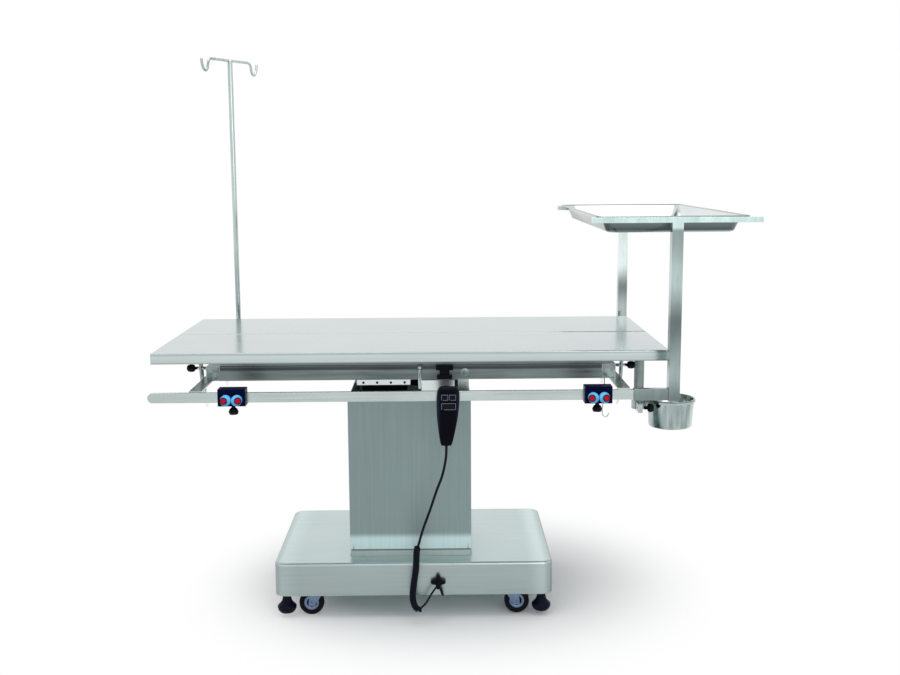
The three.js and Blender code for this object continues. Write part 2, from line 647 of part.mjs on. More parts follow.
// Frame channel with its web outside and the hole of the tilt shaft
function channel(side) {
  const web = side * FRAME_Y;
  const inside = side * (FRAME_Y - BEAM_FLANGE);
  const face = side * (FRAME_Y - BEAM_WALL);
  const section = outlineOf([[web, BEAM_BOTTOM], [web, BEAM_TOP], [inside, BEAM_TOP],
    [inside, BEAM_TOP - BEAM_WALL],
    [face, BEAM_TOP - BEAM_WALL], [face, BEAM_BOTTOM + BEAM_WALL], [inside,
      BEAM_BOTTOM + BEAM_WALL], [inside, BEAM_BOTTOM]]);
  const hole = bar('y', PIVOT_RADIUS + GAP, -FRAME_WIDTH, FRAME_WIDTH, 16).translate(PIVOT_X, 0, PIVOT_Z);
  return cut(prism('x', section, -BEAM_END, BEAM_END), hole);
}

// End tube of the frame with the angle arm under it that carries both rails. The sign gives the end of the table
function endTube(end) {
  const place = (u) => end * u;
  const tube = rectangle(place(BEAM_END + GAP), BEAM_BOTTOM, place(END_TUBE_OUT), BEAM_TOP);
  const hollow = rectangle(place(BEAM_END + GAP + BEAM_WALL), BEAM_BOTTOM + BEAM_WALL,
    place(END_TUBE_OUT - BEAM_WALL), BEAM_TOP - BEAM_WALL);
  const armOut = END_TUBE_OUT + ARM_OVERHANG;
  const armTop = BEAM_BOTTOM + WELD;
  const angle = outlineOf([[place(armOut), armTop - ARM_HEIGHT], [place(armOut), armTop],
    [place(armOut - ARM_WIDTH), armTop],
    [place(armOut - ARM_WIDTH), armTop - ARM_WALL], [place(armOut - ARM_WALL), armTop - ARM_WALL],
    [place(armOut - ARM_WALL), armTop - ARM_HEIGHT]]);
  const armEnd = RAIL_Y - RAIL_THICKNESS / 2 - GAP;
  return join(prism('y', withHole(tube, hollow), -FRAME_Y, FRAME_Y), prism('y', angle, -armEnd, armEnd));
}

// Spine tube under the seam with the hinge eyes, and the bucket post under its tail
function spine() {
  const bottom = BEAM_TOP + GAP;
  const top = LIP_BOTTOM - 2 * GAP;
  const half = SPINE_WIDTH / 2;
  const tail = TOP_LENGTH / 2 - SPINE_TAIL_GAP;
  const section = withHole(rectangle(-half, bottom, half, top),
    rectangle(SHEET - half, bottom + SHEET, half - SHEET, top - SHEET));
  const eye = outlineOf([[-half + SHEET, top - WELD], [half - SHEET, top - WELD],
    [HINGE_EYE_RADIUS, HINGE_Z]]);
  eye.absarc(0, HINGE_Z, HINGE_EYE_RADIUS, 0, PI, false);
  eye.holes.push(circle(0, HINGE_Z, HINGE_ROD_RADIUS + GAP));
  const eyes = HINGE_STATIONS.map((x) => prism('x', eye, x - HINGE_EYE_WIDTH / 2, x + HINGE_EYE_WIDTH / 2,
    4));
  const foot = [0, 1, 2, 3].map((i) => [BUCKET_POST_RADIUS * sin(degrees(30 * i)),
    -BUCKET_POST_RADIUS * cos(degrees(30 * i))]);
  const postTop = bottom + SHEET / 2;
  const post = turned('z', [...foot.map(([r, h]) => [r, BUCKET_POST_BOTTOM + BUCKET_POST_RADIUS + h]),
    [BUCKET_POST_RADIUS, postTop], [0, postTop]]).translate(BUCKET_POST_X, 0, 0);
  return join(prism('x', section, -END_TUBE_OUT, tail), ...eyes, post);
}

const hingeRod = () => bar('x', HINGE_ROD_RADIUS, HINGE_STATIONS[0] - 2 * HINGE_EYE_WIDTH,
  HINGE_STATIONS.at(-1) + 2 * HINGE_EYE_WIDTH, 12).translate(0, 0, HINGE_Z);

// Rail: a flat bar with full round ends, in its own middle plane
function rail() {
  const round = RAIL_HEIGHT / 2;
  const outline = new THREE.Shape();
  outline.absarc(RAIL_TAIL_REACH - round, RAIL_Z, round, -PI / 2, PI / 2, false);
  outline.absarc(round - RAIL_HEAD_REACH, RAIL_Z, round, PI / 2, 3 * PI / 2, false);
  return prism('y', outline, -RAIL_THICKNESS / 2, RAIL_THICKNESS / 2);
}

// Quadrant: a slotted arc about the hinge, welded under the leaf
function quadrant(end) {
  const inner = QUADRANT_RADIUS - QUADRANT_BAND / 2;
  const outer = QUADRANT_RADIUS + QUADRANT_BAND / 2;
  const rise = HINGE_DROP - SHEET / 2;
  const low = PI + degrees(QUADRANT_END_ANGLE);
  const start = PI - atan2(rise, outer);
  const finish = PI - atan2(rise, inner);
  const band = new THREE.Shape();
  band.absarc(0, HINGE_Z, outer, start, low, false);
  band.absarc(QUADRANT_RADIUS * cos(low), HINGE_Z + QUADRANT_RADIUS * sin(low), QUADRANT_BAND / 2, low,
    low + PI, false);
  band.absarc(0, HINGE_Z, inner, low, finish, true);
  const slotHalf = V_STEM_RADIUS + SLOT_PLAY;
  const slotStart = PI + degrees(V_CLAMP_ANGLE);
  const slotEnd = PI + degrees(V_CLAMP_ANGLE + V_ANGLE);
  const onArc = (angle) => [QUADRANT_RADIUS * cos(angle), HINGE_Z + QUADRANT_RADIUS * sin(angle)];
  const slot = new THREE.Path();
  slot.absarc(0, HINGE_Z, QUADRANT_RADIUS + slotHalf, slotStart, slotEnd, false);
  slot.absarc(...onArc(slotEnd), slotHalf, slotEnd, slotEnd + PI, false);
  slot.absarc(0, HINGE_Z, QUADRANT_RADIUS - slotHalf, slotEnd, slotStart, true);
  slot.absarc(...onArc(slotStart), slotHalf, slotStart + PI, slotStart + 2 * PI, false);
  band.holes.push(slot);
  const near = end * QUADRANT_X;
  const far = end * (QUADRANT_X + QUADRANT_THICKNESS);
  return prism('x', band, min(near, far), max(near, far), 6);
}

// Front leaf: a sheet folded down on three sides with a hem, a stiffening channel, hinge lugs and two quadrants
function leaf() {
  const width = TOP_WIDTH / 2 - SEAM_GAP / 2;
  const middle = [0, -(TOP_WIDTH / 2 + SEAM_GAP / 2) / 2];
  const rim = (inset, z) => roundedRing(TOP_LENGTH - 2 * inset, width - 2 * inset,
    max(LIP_RADIUS - inset, 0.5), z, middle, 2);
  const half = LIP_RADIUS * (1 - cos(PI / 4));
  const tray = loft([rim(SHEET, TOP_HEIGHT - SHEET), rim(SHEET, LIP_BOTTOM + SHEET),
    rim(LIP_HEM, LIP_BOTTOM + SHEET),
    rim(LIP_HEM, LIP_BOTTOM), rim(0, LIP_BOTTOM), rim(0, TOP_HEIGHT - LIP_RADIUS), rim(half,
      TOP_HEIGHT - half),
    rim(LIP_RADIUS, TOP_HEIGHT)]);
  const inside = TOP_LENGTH / 2 - LIP_HEM;
  const openSeam = block([-inside, -SEAM_GAP / 2 - LIP_HEM, LIP_BOTTOM - WELD],
    [inside, 0, TOP_HEIGHT - SHEET]);
  const beamMiddle = -(FRAME_Y - BEAM_FLANGE / 2);
  const u0 = beamMiddle - STIFFENER_WIDTH / 2;
  const u1 = beamMiddle + STIFFENER_WIDTH / 2;
  const under = TOP_HEIGHT - SHEET / 2;
  const hat = outlineOf([[u0, under], [u0, LIP_BOTTOM], [u1, LIP_BOTTOM], [u1, under], [u1 - SHEET, under],
    [u1 - SHEET, LIP_BOTTOM + SHEET], [u0 + SHEET, LIP_BOTTOM + SHEET], [u0 + SHEET, under]]);
  const hatEnd = TOP_LENGTH / 2 - STIFFENER_END_GAP;
  const lug = outlineOf([[-HINGE_LUG_REACH, under], [-HINGE_LUG_REACH, HINGE_Z - HINGE_EYE_RADIUS],
    [0, HINGE_Z - HINGE_EYE_RADIUS]]);
  lug.absarc(0, HINGE_Z, HINGE_EYE_RADIUS, -PI / 2, PI / 2, false);
  lug.lineTo(-SEAM_GAP / 2 - WELD, HINGE_Z + HINGE_EYE_RADIUS);
  lug.lineTo(-SEAM_GAP / 2 - WELD, under);
  lug.holes.push(circle(0, HINGE_Z, HINGE_ROD_RADIUS + GAP));
  const lugStart = HINGE_EYE_WIDTH / 2 + GAP;
  const lugs = HINGE_STATIONS.map((x) => prism('x', lug, x + lugStart, x + lugStart + HINGE_LUG_WIDTH, 4));
  const channelHat = prism('x', hat, -hatEnd, hatEnd);
  return join(cut(tray, openSeam), channelHat, ...lugs, quadrant(-1), quadrant(1));
}

// Clamp knob of a quadrant along X: a stem against the end tube, a collar and a ribbed grip
function quadrantKnob() {
  const face = QUADRANT_X + QUADRANT_THICKNESS + GAP;
  const grip = face + V_COLLAR_LENGTH;
  const end = grip + V_KNOB_LENGTH;
  return turned('x', [[0, END_TUBE_OUT + GAP], [V_STEM_RADIUS, END_TUBE_OUT + GAP], [V_STEM_RADIUS, face],
    [V_COLLAR_RADIUS, face], [V_COLLAR_RADIUS - 1, grip], [V_KNOB_RADIUS, grip + 2], [V_KNOB_RADIUS,
      end - 3],
    [V_KNOB_RADIUS - 3, end], [0, end]], 12);
}

// A sleeve along X that encloses the rail, described by its walls: front, back, top and bottom
function railSleeve(from, to, front, back, top, bottom) {
  const y0 = -RAIL_THICKNESS / 2 - GAP;
  const y1 = RAIL_THICKNESS / 2 + GAP;
  const z0 = RAIL_BOTTOM - GAP;
  const z1 = RAIL_TOP + GAP;
  return prism('x', withHole(rectangle(y0 - front, z0 - bottom, y1 + back, z1 + top),
    rectangle(y0, z0, y1, z1)), from, to);
}

const cleatTop = RAIL_TOP + GAP + CLEAT_TOP_WALL;
const cleatFront = -RAIL_THICKNESS / 2 - GAP - CLEAT_FRONT_WALL;
const camFront = cleatFront - GAP - CAM_THICKNESS;
const camZ = cleatTop - CAM_DROP;

// Cleat block on the rail with two headed cam pins in front and a threaded hole below
function cleatBlock() {
  const body = railSleeve(-CLEAT_LENGTH / 2, CLEAT_LENGTH / 2, CLEAT_FRONT_WALL, CLEAT_BACK_WALL,
    CLEAT_TOP_WALL, CLEAT_BOTTOM_WALL);
  const headStart = camFront - GAP;
  const pin = turned('y', [[0, headStart - CAM_HEAD], [CAM_HEAD_RADIUS - 1.5, headStart - CAM_HEAD],
    [CAM_HEAD_RADIUS, headStart - CAM_HEAD / 2],
    [CAM_HEAD_RADIUS, headStart], [CAM_PIN_RADIUS, headStart], [CAM_PIN_RADIUS, cleatFront + WELD], [0,
      cleatFront + WELD]], 14);
  const pins = [-1, 1].map((side) => pin.clone().translate(side * CAM_SPACING / 2, 0, camZ));
  const thread = bar('z', CLAMP_STEM_RADIUS + GAP, RAIL_BOTTOM - CLEAT_BOTTOM_WALL - 2 * GAP, RAIL_Z, 10);
  return cut(join(body, ...pins), thread);
}

// Eccentric cam about its pin, with its lobe towards the other cam
function cam(side) {
  const outline = withHole(circle(-side * CAM_OFFSET, 0, CAM_RADIUS), circle(0, 0, CAM_PIN_RADIUS + GAP));
  return prism('y', outline, camFront, camFront + CAM_THICKNESS, 9);
}

// Bell knob with a stem, its heights counted from the seat that the stem presses on, downwards
function bellKnob(axis, stem) {
  const grip = stem + CLAMP_NECK;
  return turned(axis, [[0, -GAP], [CLAMP_STEM_RADIUS, -GAP], [CLAMP_STEM_RADIUS, -stem],
    [CLAMP_NECK_RADIUS, -stem],
    [CLAMP_NECK_RADIUS, -grip], [CLAMP_KNOB_RADIUS - 3, -grip - 4], [CLAMP_KNOB_RADIUS,
      -grip - CLAMP_KNOB * 0.6],
    [CLAMP_KNOB_RADIUS - 2, -grip - CLAMP_KNOB], [0, -grip - CLAMP_KNOB]], 12);
}

const poleOffset = POLE_Y - RAIL_Y;
const clampBack = poleOffset + POLE_RADIUS + GAP + POLE_CLAMP_WALL;

// Pole clamp on the rear rail: a block round the rail with a bore for the pole and a threaded hole behind it
function poleClamp() {
  const half = POLE_CLAMP_LENGTH / 2;
  const back = clampBack - RAIL_THICKNESS / 2 - GAP;
  const body = railSleeve(-half, half, POLE_CLAMP_WALL, back, POLE_CLAMP_WALL, POLE_CLAMP_WALL);
  const bore = bar('z', POLE_RADIUS + GAP, RAIL_Z - RAIL_SPACING, RAIL_Z + RAIL_SPACING, 16).translate(0,
    poleOffset, 0);
  const thread = bar('y', CLAMP_STEM_RADIUS + GAP, poleOffset, clampBack + WELD, 10).translate(0, 0,
    RAIL_Z);
  return cut(body, bore, thread);
}

// Infusion pole with a crossbar whose ends dip into open hooks
function infusionPole() {
  const pole = bar('z', POLE_RADIUS, POLE_BOTTOM, POLE_TOP, 16);
  const half = POLE_BAR_HALF;
  const wing = [[half, POLE_HOOK * 0.75], [half - 1, 0], [half - POLE_HOOK / 2, -POLE_HOOK / 2],
    [half - POLE_HOOK, 0],
    [half - 1.6 * POLE_HOOK, POLE_HOOK / 3]];
  const path = [...wing.map(([u, z]) => [-u, 0, z]), [0, 0, POLE_HOOK / 3],
    ...wing.reverse().map(([u, z]) => [u, 0, z])];
  const crossbar = cordAlong(path, POLE_BAR_RADIUS, 4, 32);
  crossbar.rotateZ(degrees(POLE_BAR_ANGLE)).translate(0, 0, POLE_TOP - POLE_HOOK / 3);
  return join(pole, crossbar);
}

// Tray stand: a sleeve on the rail end, an upright post and a flat bar on top that carries the tray rim
function trayStand() {
  const wall = STAND_SLEEVE_WALL;
  const half = STAND_POST / 2;
  const sleeve = railSleeve(STAND_SLEEVE_HEAD, STAND_POST_X - half + WELD, wall, wall, wall, wall);
  const post = block([STAND_POST_X - half, -half, RAIL_BOTTOM - GAP - wall],
    [STAND_POST_X + half, half, STAND_BAR_TOP - WELD]);
  const top = block([STAND_POST_X - STAND_BAR_LENGTH / 2, -half, STAND_BAR_TOP - STAND_BAR_HEIGHT],
    [STAND_POST_X + STAND_BAR_LENGTH / 2, half, STAND_BAR_TOP]);
  return join(sleeve, post, top);
}

// Instrument tray: a drawn pan with sloping walls that hangs by its flat rim between the bars
function tray() {
  const seat = STAND_BAR_TOP + GAP;
  const rim = seat + TRAY_WALL;
  const bottom = rim - TRAY_DEPTH;
  const topLength = RAIL_SPACING - STAND_POST - 2 * TRAY_END_GAP;
  const slope = TRAY_TOP_WIDTH - TRAY_BOTTOM_WIDTH;
  const ring = (width, length, corner, z) => roundedRing(width, length, corner, z, [TRAY_X, 0], 4);
  const outer = (drop, z) => ring(TRAY_TOP_WIDTH - drop, topLength - drop, TRAY_CORNER, z);
  const inner = (drop, z) => ring(TRAY_TOP_WIDTH - drop - 2 * TRAY_WALL, topLength - drop - 2 * TRAY_WALL,
    TRAY_CORNER - TRAY_WALL, z);
  const flange = (z) => ring(TRAY_RIM_WIDTH, TRAY_RIM_LENGTH,
    TRAY_CORNER + (TRAY_RIM_WIDTH - TRAY_TOP_WIDTH) / 2, z);
  return loft([inner(slope, bottom + TRAY_WALL), inner(0, rim), flange(rim), flange(seat), outer(0, seat),
    outer(slope, bottom)]);
}

// Bucket: a tapered cup with an outward lip
function bucket() {
  const rim = BUCKET_RIM_HEIGHT;
  const bottom = rim - BUCKET_DEPTH;
  return turned('z', [[0, bottom], [BUCKET_BOTTOM_RADIUS - 4, bottom], [BUCKET_BOTTOM_RADIUS, bottom + 4],
    [BUCKET_RADIUS, rim - BUCKET_LIP],
    [BUCKET_RADIUS + BUCKET_LIP, rim - BUCKET_LIP], [BUCKET_RADIUS + BUCKET_LIP,
      rim], [BUCKET_RADIUS - BUCKET_WALL, rim],
    [BUCKET_BOTTOM_RADIUS - BUCKET_WALL, bottom + 4 + BUCKET_WALL], [0, bottom + BUCKET_WALL]], 28);
}

// Bucket bracket: a collar round the post with a screw ear, and the ring under the bucket's lip
function bucketBracket() {
  const collarRadius = BUCKET_POST_RADIUS + GAP + COLLAR_WALL;
  const collarTop = COLLAR_BOTTOM + COLLAR_HEIGHT;
  const ringTop = BUCKET_RIM_HEIGHT - BUCKET_LIP - GAP;
  const ringInner = BUCKET_RADIUS + GAP;
  const ringOuter = ringInner + RING_WIDTH;
  const collar = bar('z', collarRadius, COLLAR_BOTTOM, collarTop);
  const link = block([0, -COLLAR_EAR / 2, COLLAR_BOTTOM],
    [BUCKET_X - BUCKET_POST_X - BUCKET_BOTTOM_RADIUS, COLLAR_EAR / 2, collarTop]);
  const ear = block([-COLLAR_EAR, -COLLAR_SCREW_Y - COLLAR_EAR, COLLAR_BOTTOM], [0, 0, collarTop]);
  const hoop = turned('z', [[ringInner, ringTop - RING_HEIGHT], [ringOuter, ringTop - RING_HEIGHT],
    [ringOuter, ringTop], [ringInner, ringTop],
    [ringInner, ringTop - RING_HEIGHT]], 28).translate(BUCKET_X - BUCKET_POST_X, 0, 0);
  const postBore = bar('z', BUCKET_POST_RADIUS + GAP, COLLAR_BOTTOM - WELD, collarTop + WELD);
  const cupSpace = bar('z', ringInner, BUCKET_RIM_HEIGHT - BUCKET_DEPTH, BUCKET_RIM_HEIGHT,
    28).translate(BUCKET_X - BUCKET_POST_X, 0, 0);
  const thread = bar('x', CLAMP_STEM_RADIUS + GAP, -2 * COLLAR_EAR, COLLAR_EAR, 10)
    .translate(0, -COLLAR_SCREW_Y, COLLAR_BOTTOM + COLLAR_HEIGHT / 2);
  return cut(join(collar, link, ear, hoop), postBore, cupSpace, thread).translate(BUCKET_POST_X, 0, 0);
}

// Bucket clamp knob along X: a screw through the ear and a three-lobed grip
function bucketKnob() {
  const grip = new THREE.Shape();
  const turns = 36;
  for (let i = 0; i < turns; i++) {
    const angle = (i / turns) * 2 * PI;
    const radius = BUCKET_KNOB_RADIUS - 2.5 + 2.5 * cos(3 * angle);
    const step = i === 0 ? 'moveTo' : 'lineTo';
    grip[step](radius * cos(angle), radius * sin(angle));
  }
  const screw = bar('x', CLAMP_STEM_RADIUS, -COLLAR_EAR - CLAMP_STEM_RADIUS, CLAMP_NECK + WELD, 10);
  const head = prism('x', grip, CLAMP_NECK, CLAMP_NECK + BUCKET_KNOB_LENGTH);
  const place = [BUCKET_POST_X, -COLLAR_SCREW_Y, COLLAR_BOTTOM + COLLAR_HEIGHT / 2];
  return join(screw, head).translate(...place);
}

const handsetBack = -RAIL_THICKNESS / 2 - HANDSET_BACK_GAP;

// Depth of the handset at a height above its bottom
function handsetDepth(height) {
  const next = HANDSET_SECTIONS.findIndex(([h]) => h >= height);
  const [h0, , d0] = HANDSET_SECTIONS[next - 1];
  const [h1, , d1] = HANDSET_SECTIONS[next];
  return d0 + (d1 - d0) * (height - h0) / (h1 - h0);
}

// Handset shell: a tapered moulded grip with two rocker windows, and the hook behind it that hangs on the rail
function handset() {
  const grip = loft(HANDSET_SECTIONS.map(([h, width, depth]) =>
    roundedRing(width, depth, depth * 0.4, HANDSET_BOTTOM + h, [0, handsetBack - depth / 2], 3)));
  const hookTop = RAIL_TOP + GAP + HOOK_WALL;
  const hookBack = RAIL_THICKNESS / 2 + GAP;
  const bridge = block([-HOOK_WIDTH / 2, handsetBack - HOOK_WALL, RAIL_TOP + GAP],
    [HOOK_WIDTH / 2, hookBack + HOOK_WALL, hookTop]);
  const tongue = block([-HOOK_WIDTH / 2, hookBack, hookTop - HOOK_WALL - HOOK_DROP],
    [HOOK_WIDTH / 2, hookBack + HOOK_WALL, hookTop]);
  const windows = ROCKER_HEIGHTS.map((height) => {
    const front = handsetBack - handsetDepth(height);
    const z = HANDSET_BOTTOM + height;
    return block([-ROCKER_WIDTH / 2 - GAP, front - ROCKER_THICKNESS, z - ROCKER_HEIGHT / 2 - GAP],
      [ROCKER_WIDTH / 2 + GAP, front - ROCKER_PROUD + ROCKER_THICKNESS + ROCKER_TRAVEL,
        z + ROCKER_HEIGHT / 2 + GAP]);
  });
  return cut(join(grip, bridge, tongue), ...windows);
}

// Rocker: a rounded key that tips about its middle
function rocker(height) {
  const front = handsetBack - handsetDepth(height) - ROCKER_PROUD;
  const z = HANDSET_BOTTOM + height;
  const round = 3;
  const ring = (y) => roundedRing(ROCKER_WIDTH, ROCKER_HEIGHT, round, y, [0, 0], 3);
  const key = loft([ring(0), ring(ROCKER_THICKNESS)]).rotateX(PI / 2);
  return key.translate(0, front + ROCKER_THICKNESS, z);
}

// Cord socket on the base front: a four-lobed flange with a tapered boss
function cordSocket() {
  const flange = new THREE.Shape();
  const turns = 32;
  for (let i = 0; i < turns; i++) {
    const angle = (i / turns) * 2 * PI;
    const radius = SOCKET_LOBE + SOCKET_LOBE_DEPTH * cos(4 * angle);
    const step = i === 0 ? 'moveTo' : 'lineTo';
    flange[step](radius * cos(angle), radius * sin(angle));
  }
  const face = -BASE_WIDTH / 2 - GAP;
  const front = face - SOCKET_FLANGE;
  const boss = turned('y', [[0, front + WELD], [SOCKET_BOSS_RADIUS, front + WELD],
    [CORD_RADIUS + 1, front - SOCKET_BOSS + GAP],
    [0, front - SOCKET_BOSS + GAP]], 14);
  return join(prism('y', flange, front, face), boss).translate(SOCKET_X, 0, SOCKET_Z);
}

piece('base_cover', baseCover(), SATIN);
piece('chassis', chassis(), ZINC);
piece('inner_column', innerColumn(), SATIN);
piece('lift_actuator_tube', liftTube(), BLACK, [COLUMN_X, 0, 0]);
piece('lift_actuator_rod', liftRod(), POLISHED, [COLUMN_X, 0, 0]);
piece('column_cover', columnCover(), SATIN);
piece('column_head', columnHead(), ZINC);
for (const [corner, x, y] of cornerPlaces(WHEEL_X, WHEEL_Y)) {
  const outwards = x < 0 ? PI : 0;
  piece(`caster_fork_${corner}`, casterFork(), ZINC, [x - CASTER_TRAIL * cos(outwards), y, 0], outwards);
  piece(`caster_wheel_${corner}`, casterWheel(), TYRE, [x, y, WHEEL_RADIUS]);
}
for (const [corner, x, y] of cornerPlaces(FOOT_X, FOOT_Y)) {
  piece(`levelling_foot_${corner}`, levellingFoot(), BLACK, [x, y, 0]);
}
piece('tilt_actuator', tiltMotor(), BLACK);
piece('tilt_actuator_rod', tiltRod(), POLISHED);
piece('tilt_shaft', tiltShaft(), ZINC);
piece('frame_beam_front', channel(-1), POLISHED);
piece('frame_beam_rear', channel(1), POLISHED);
piece('frame_end_head', endTube(-1), POLISHED);
piece('frame_end_tail', endTube(1), POLISHED);
piece('seam_spine', spine(), BRUSHED);
piece('hinge_rod', hingeRod(), POLISHED);
piece('rail_front', rail(), BRUSHED, [0, -RAIL_Y, 0]);
piece('rail_rear', rail(), BRUSHED, [0, RAIL_Y, 0]);
piece('leaf_front', leaf(), BRUSHED);
piece('leaf_rear', leaf(), BRUSHED, [0, 0, 0], PI);

const clampY = QUADRANT_RADIUS * cos(degrees(V_CLAMP_ANGLE));
const clampZ = HINGE_Z - QUADRANT_RADIUS * sin(degrees(V_CLAMP_ANGLE));
for (const [corner, x, y] of cornerPlaces(1, clampY)) {
  piece(`quadrant_knob_${corner}`, quadrantKnob(), BLACK, [0, y, clampZ], x < 0 ? PI : 0);
}

CLEAT_X.forEach((x, i) => {
  const name = ['head', 'tail'][i];
  piece(`cleat_block_${name}`, cleatBlock(), NAVY, [x, -RAIL_Y, 0]);
  piece(`cleat_knob_${name}`, bellKnob('z', CLEAT_BOTTOM_WALL + 2 * GAP), BLACK, [x, -RAIL_Y, RAIL_BOTTOM]);
  for (const [hand, side] of [['left', -1], ['right', 1]]) {
    piece(`cleat_cam_${name}_${hand}`, cam(side), BLUE, [x + side * CAM_SPACING / 2, -RAIL_Y, camZ]);
  }
});

piece('pole_clamp', poleClamp(), BLACK, [POLE_X, RAIL_Y, 0]);
piece('pole_knob', bellKnob('y', POLE_CLAMP_WALL + 2 * GAP), BLACK,
  [POLE_X, POLE_Y + POLE_RADIUS, RAIL_Z], PI);
piece('infusion_pole', infusionPole(), BRUSHED, [POLE_X, POLE_Y, 0]);
piece('tray_stand_front', trayStand(), BRUSHED, [0, -RAIL_Y, 0]);
piece('tray_stand_rear', trayStand(), BRUSHED, [0, RAIL_Y, 0]);
piece('instrument_tray', tray(), POLISHED);
piece('bucket_bracket', bucketBracket(), BRUSHED);
piece('bucket_knob', bucketKnob(), BLACK);
piece('bucket', bucket(), POLISHED, [BUCKET_X, 0, 0]);
piece('handset', handset(), HANDSET_SHELL, [HANDSET_X, -RAIL_Y, 0]);
ROCKER_HEIGHTS.forEach((height, i) => {
  piece(`handset_rocker_${['lift', 'tilt'][i]}`, rocker(height), BLACK, [HANDSET_X, -RAIL_Y, 0]);
});
piece('cord_socket', cordSocket(), BLACK);
piece('cord_lower_lead', cordAlong(LOWER_LEAD, CORD_RADIUS, 4, 14), BLACK);
piece('cord_coil', cordAlong(COIL_PATH, COIL_RADIUS, 6, 16), BLACK);
piece('cord_upper_lead', cordAlong(UPPER_LEAD, CORD_RADIUS, 4, 24), BLACK);

// The origin goes under the middle of the outer box: table head to tray bar, and cleat pins to infusion hook
const boxHead = -TOP_LENGTH / 2;
const boxTail = STAND_POST_X + STAND_BAR_LENGTH / 2;
const boxFront = camFront - GAP - CAM_HEAD - RAIL_Y;
const boxRear = POLE_Y + (POLE_BAR_HALF + POLE_BAR_RADIUS) * sin(degrees(POLE_BAR_ANGLE));
table.position.set(-(boxHead + boxTail) / 2, -(boxFront + boxRear) / 2, 0);

export default table;
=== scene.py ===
import math
import bpy
import numpy as np
from mathutils import Matrix, Vector


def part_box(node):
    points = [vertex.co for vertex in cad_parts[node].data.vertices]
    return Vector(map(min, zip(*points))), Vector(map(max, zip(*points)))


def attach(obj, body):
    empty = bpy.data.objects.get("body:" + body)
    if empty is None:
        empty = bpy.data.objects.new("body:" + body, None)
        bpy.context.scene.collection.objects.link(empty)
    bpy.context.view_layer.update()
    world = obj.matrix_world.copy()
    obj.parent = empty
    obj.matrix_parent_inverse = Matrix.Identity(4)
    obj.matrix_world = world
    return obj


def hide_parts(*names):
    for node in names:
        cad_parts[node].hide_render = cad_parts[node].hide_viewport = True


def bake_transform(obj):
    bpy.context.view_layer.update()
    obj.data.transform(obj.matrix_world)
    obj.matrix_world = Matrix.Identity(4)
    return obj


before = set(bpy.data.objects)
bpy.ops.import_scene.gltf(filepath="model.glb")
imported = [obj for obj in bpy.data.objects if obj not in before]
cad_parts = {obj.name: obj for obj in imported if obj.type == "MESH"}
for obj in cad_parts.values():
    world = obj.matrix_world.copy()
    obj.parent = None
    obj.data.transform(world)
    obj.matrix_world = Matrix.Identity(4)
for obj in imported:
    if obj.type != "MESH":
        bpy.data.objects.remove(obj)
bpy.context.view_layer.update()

# Studio: a white floor and sky, a large soft lamp overhead and a weaker one in front.
# The floor takes the table's shadow near the base and turns plain white further out.
# The camera stands where the photograph was taken, three metres in front of the handset side.
plain_white = (1.0, 1.0, 1.0, 1.0)
sky_tint = (0.97, 0.99, 1.0, 1.0)
sky_strength = 0.8
scene = bpy.context.scene
scene.view_settings.view_transform = "Standard"
world = bpy.data.worlds.new("white_sky")
scene.world = world
world.use_nodes = True
sky = world.node_tree
sky.nodes.clear()
sky_out = sky.nodes.new("ShaderNodeOutputWorld")
sky_seen = sky.nodes.new("ShaderNodeBackground")
sky_seen.inputs["Color"].default_value = plain_white
sky_seen.inputs["Strength"].default_value = 1.0
sky_light = sky.nodes.new("ShaderNodeBackground")
sky_light.inputs["Color"].default_value = sky_tint
sky_light.inputs["Strength"].default_value = sky_strength
rays = sky.nodes.new("ShaderNodeLightPath")
camera_or_gloss = sky.nodes.new("ShaderNodeMath")
camera_or_gloss.operation = "MAXIMUM"
or_glass = sky.nodes.new("ShaderNodeMath")
or_glass.operation = "MAXIMUM"
sky_mix = sky.nodes.new("ShaderNodeMixShader")
sky.links.new(rays.outputs["Is Camera Ray"], camera_or_gloss.inputs[0])
sky.links.new(rays.outputs["Is Glossy Ray"], camera_or_gloss.inputs[1])
sky.links.new(camera_or_gloss.outputs[0], or_glass.inputs[0])
sky.links.new(rays.outputs["Is Transmission Ray"], or_glass.inputs[1])
sky.links.new(or_glass.outputs[0], sky_mix.inputs["Fac"])
sky.links.new(sky_light.outputs[0], sky_mix.inputs[1])
sky.links.new(sky_seen.outputs[0], sky_mix.inputs[2])
sky.links.new(sky_mix.outputs[0], sky_out.inputs["Surface"])

floor_half = 30.0
floor_colour = (0.93, 0.93, 0.93, 1.0)
shadow_reach, white_reach = 0.3, 0.8
floor_mesh = bpy.data.meshes.new("studio_floor")
floor_signs = [(-1, -1), (1, -1), (1, 1), (-1, 1)]
floor_corners = [(floor_half * x, floor_half * y, 0) for x, y in floor_signs]
floor_mesh.from_pydata(floor_corners, [], [(0, 1, 2, 3)])
floor = bpy.data.objects.new("studio_floor", floor_mesh)
scene.collection.objects.link(floor)
floor_paint = bpy.data.materials.new("white_floor")
floor_paint.use_nodes = True
floor_nodes, floor_links = floor_paint.node_tree.nodes, floor_paint.node_tree.links
floor_surface = floor_nodes["Principled BSDF"]
floor_surface.inputs["Base Color"].default_value = floor_colour
floor_surface.inputs["Roughness"].default_value = 0.9
floor_surface.inputs["Specular IOR Level"].default_value = 0.1
floor_white = floor_nodes.new("ShaderNodeEmission")
floor_white.inputs["Color"].default_value = plain_white
floor_white.inputs["Strength"].default_value = 1.0
floor_place = floor_nodes.new("ShaderNodeTexCoord")
floor_reach = floor_nodes.new("ShaderNodeVectorMath")
floor_reach.operation = "LENGTH"
floor_fade = floor_nodes.new("ShaderNodeMapRange")
floor_fade.interpolation_type = "SMOOTHSTEP"
floor_fade.inputs["From Min"].default_value = shadow_reach
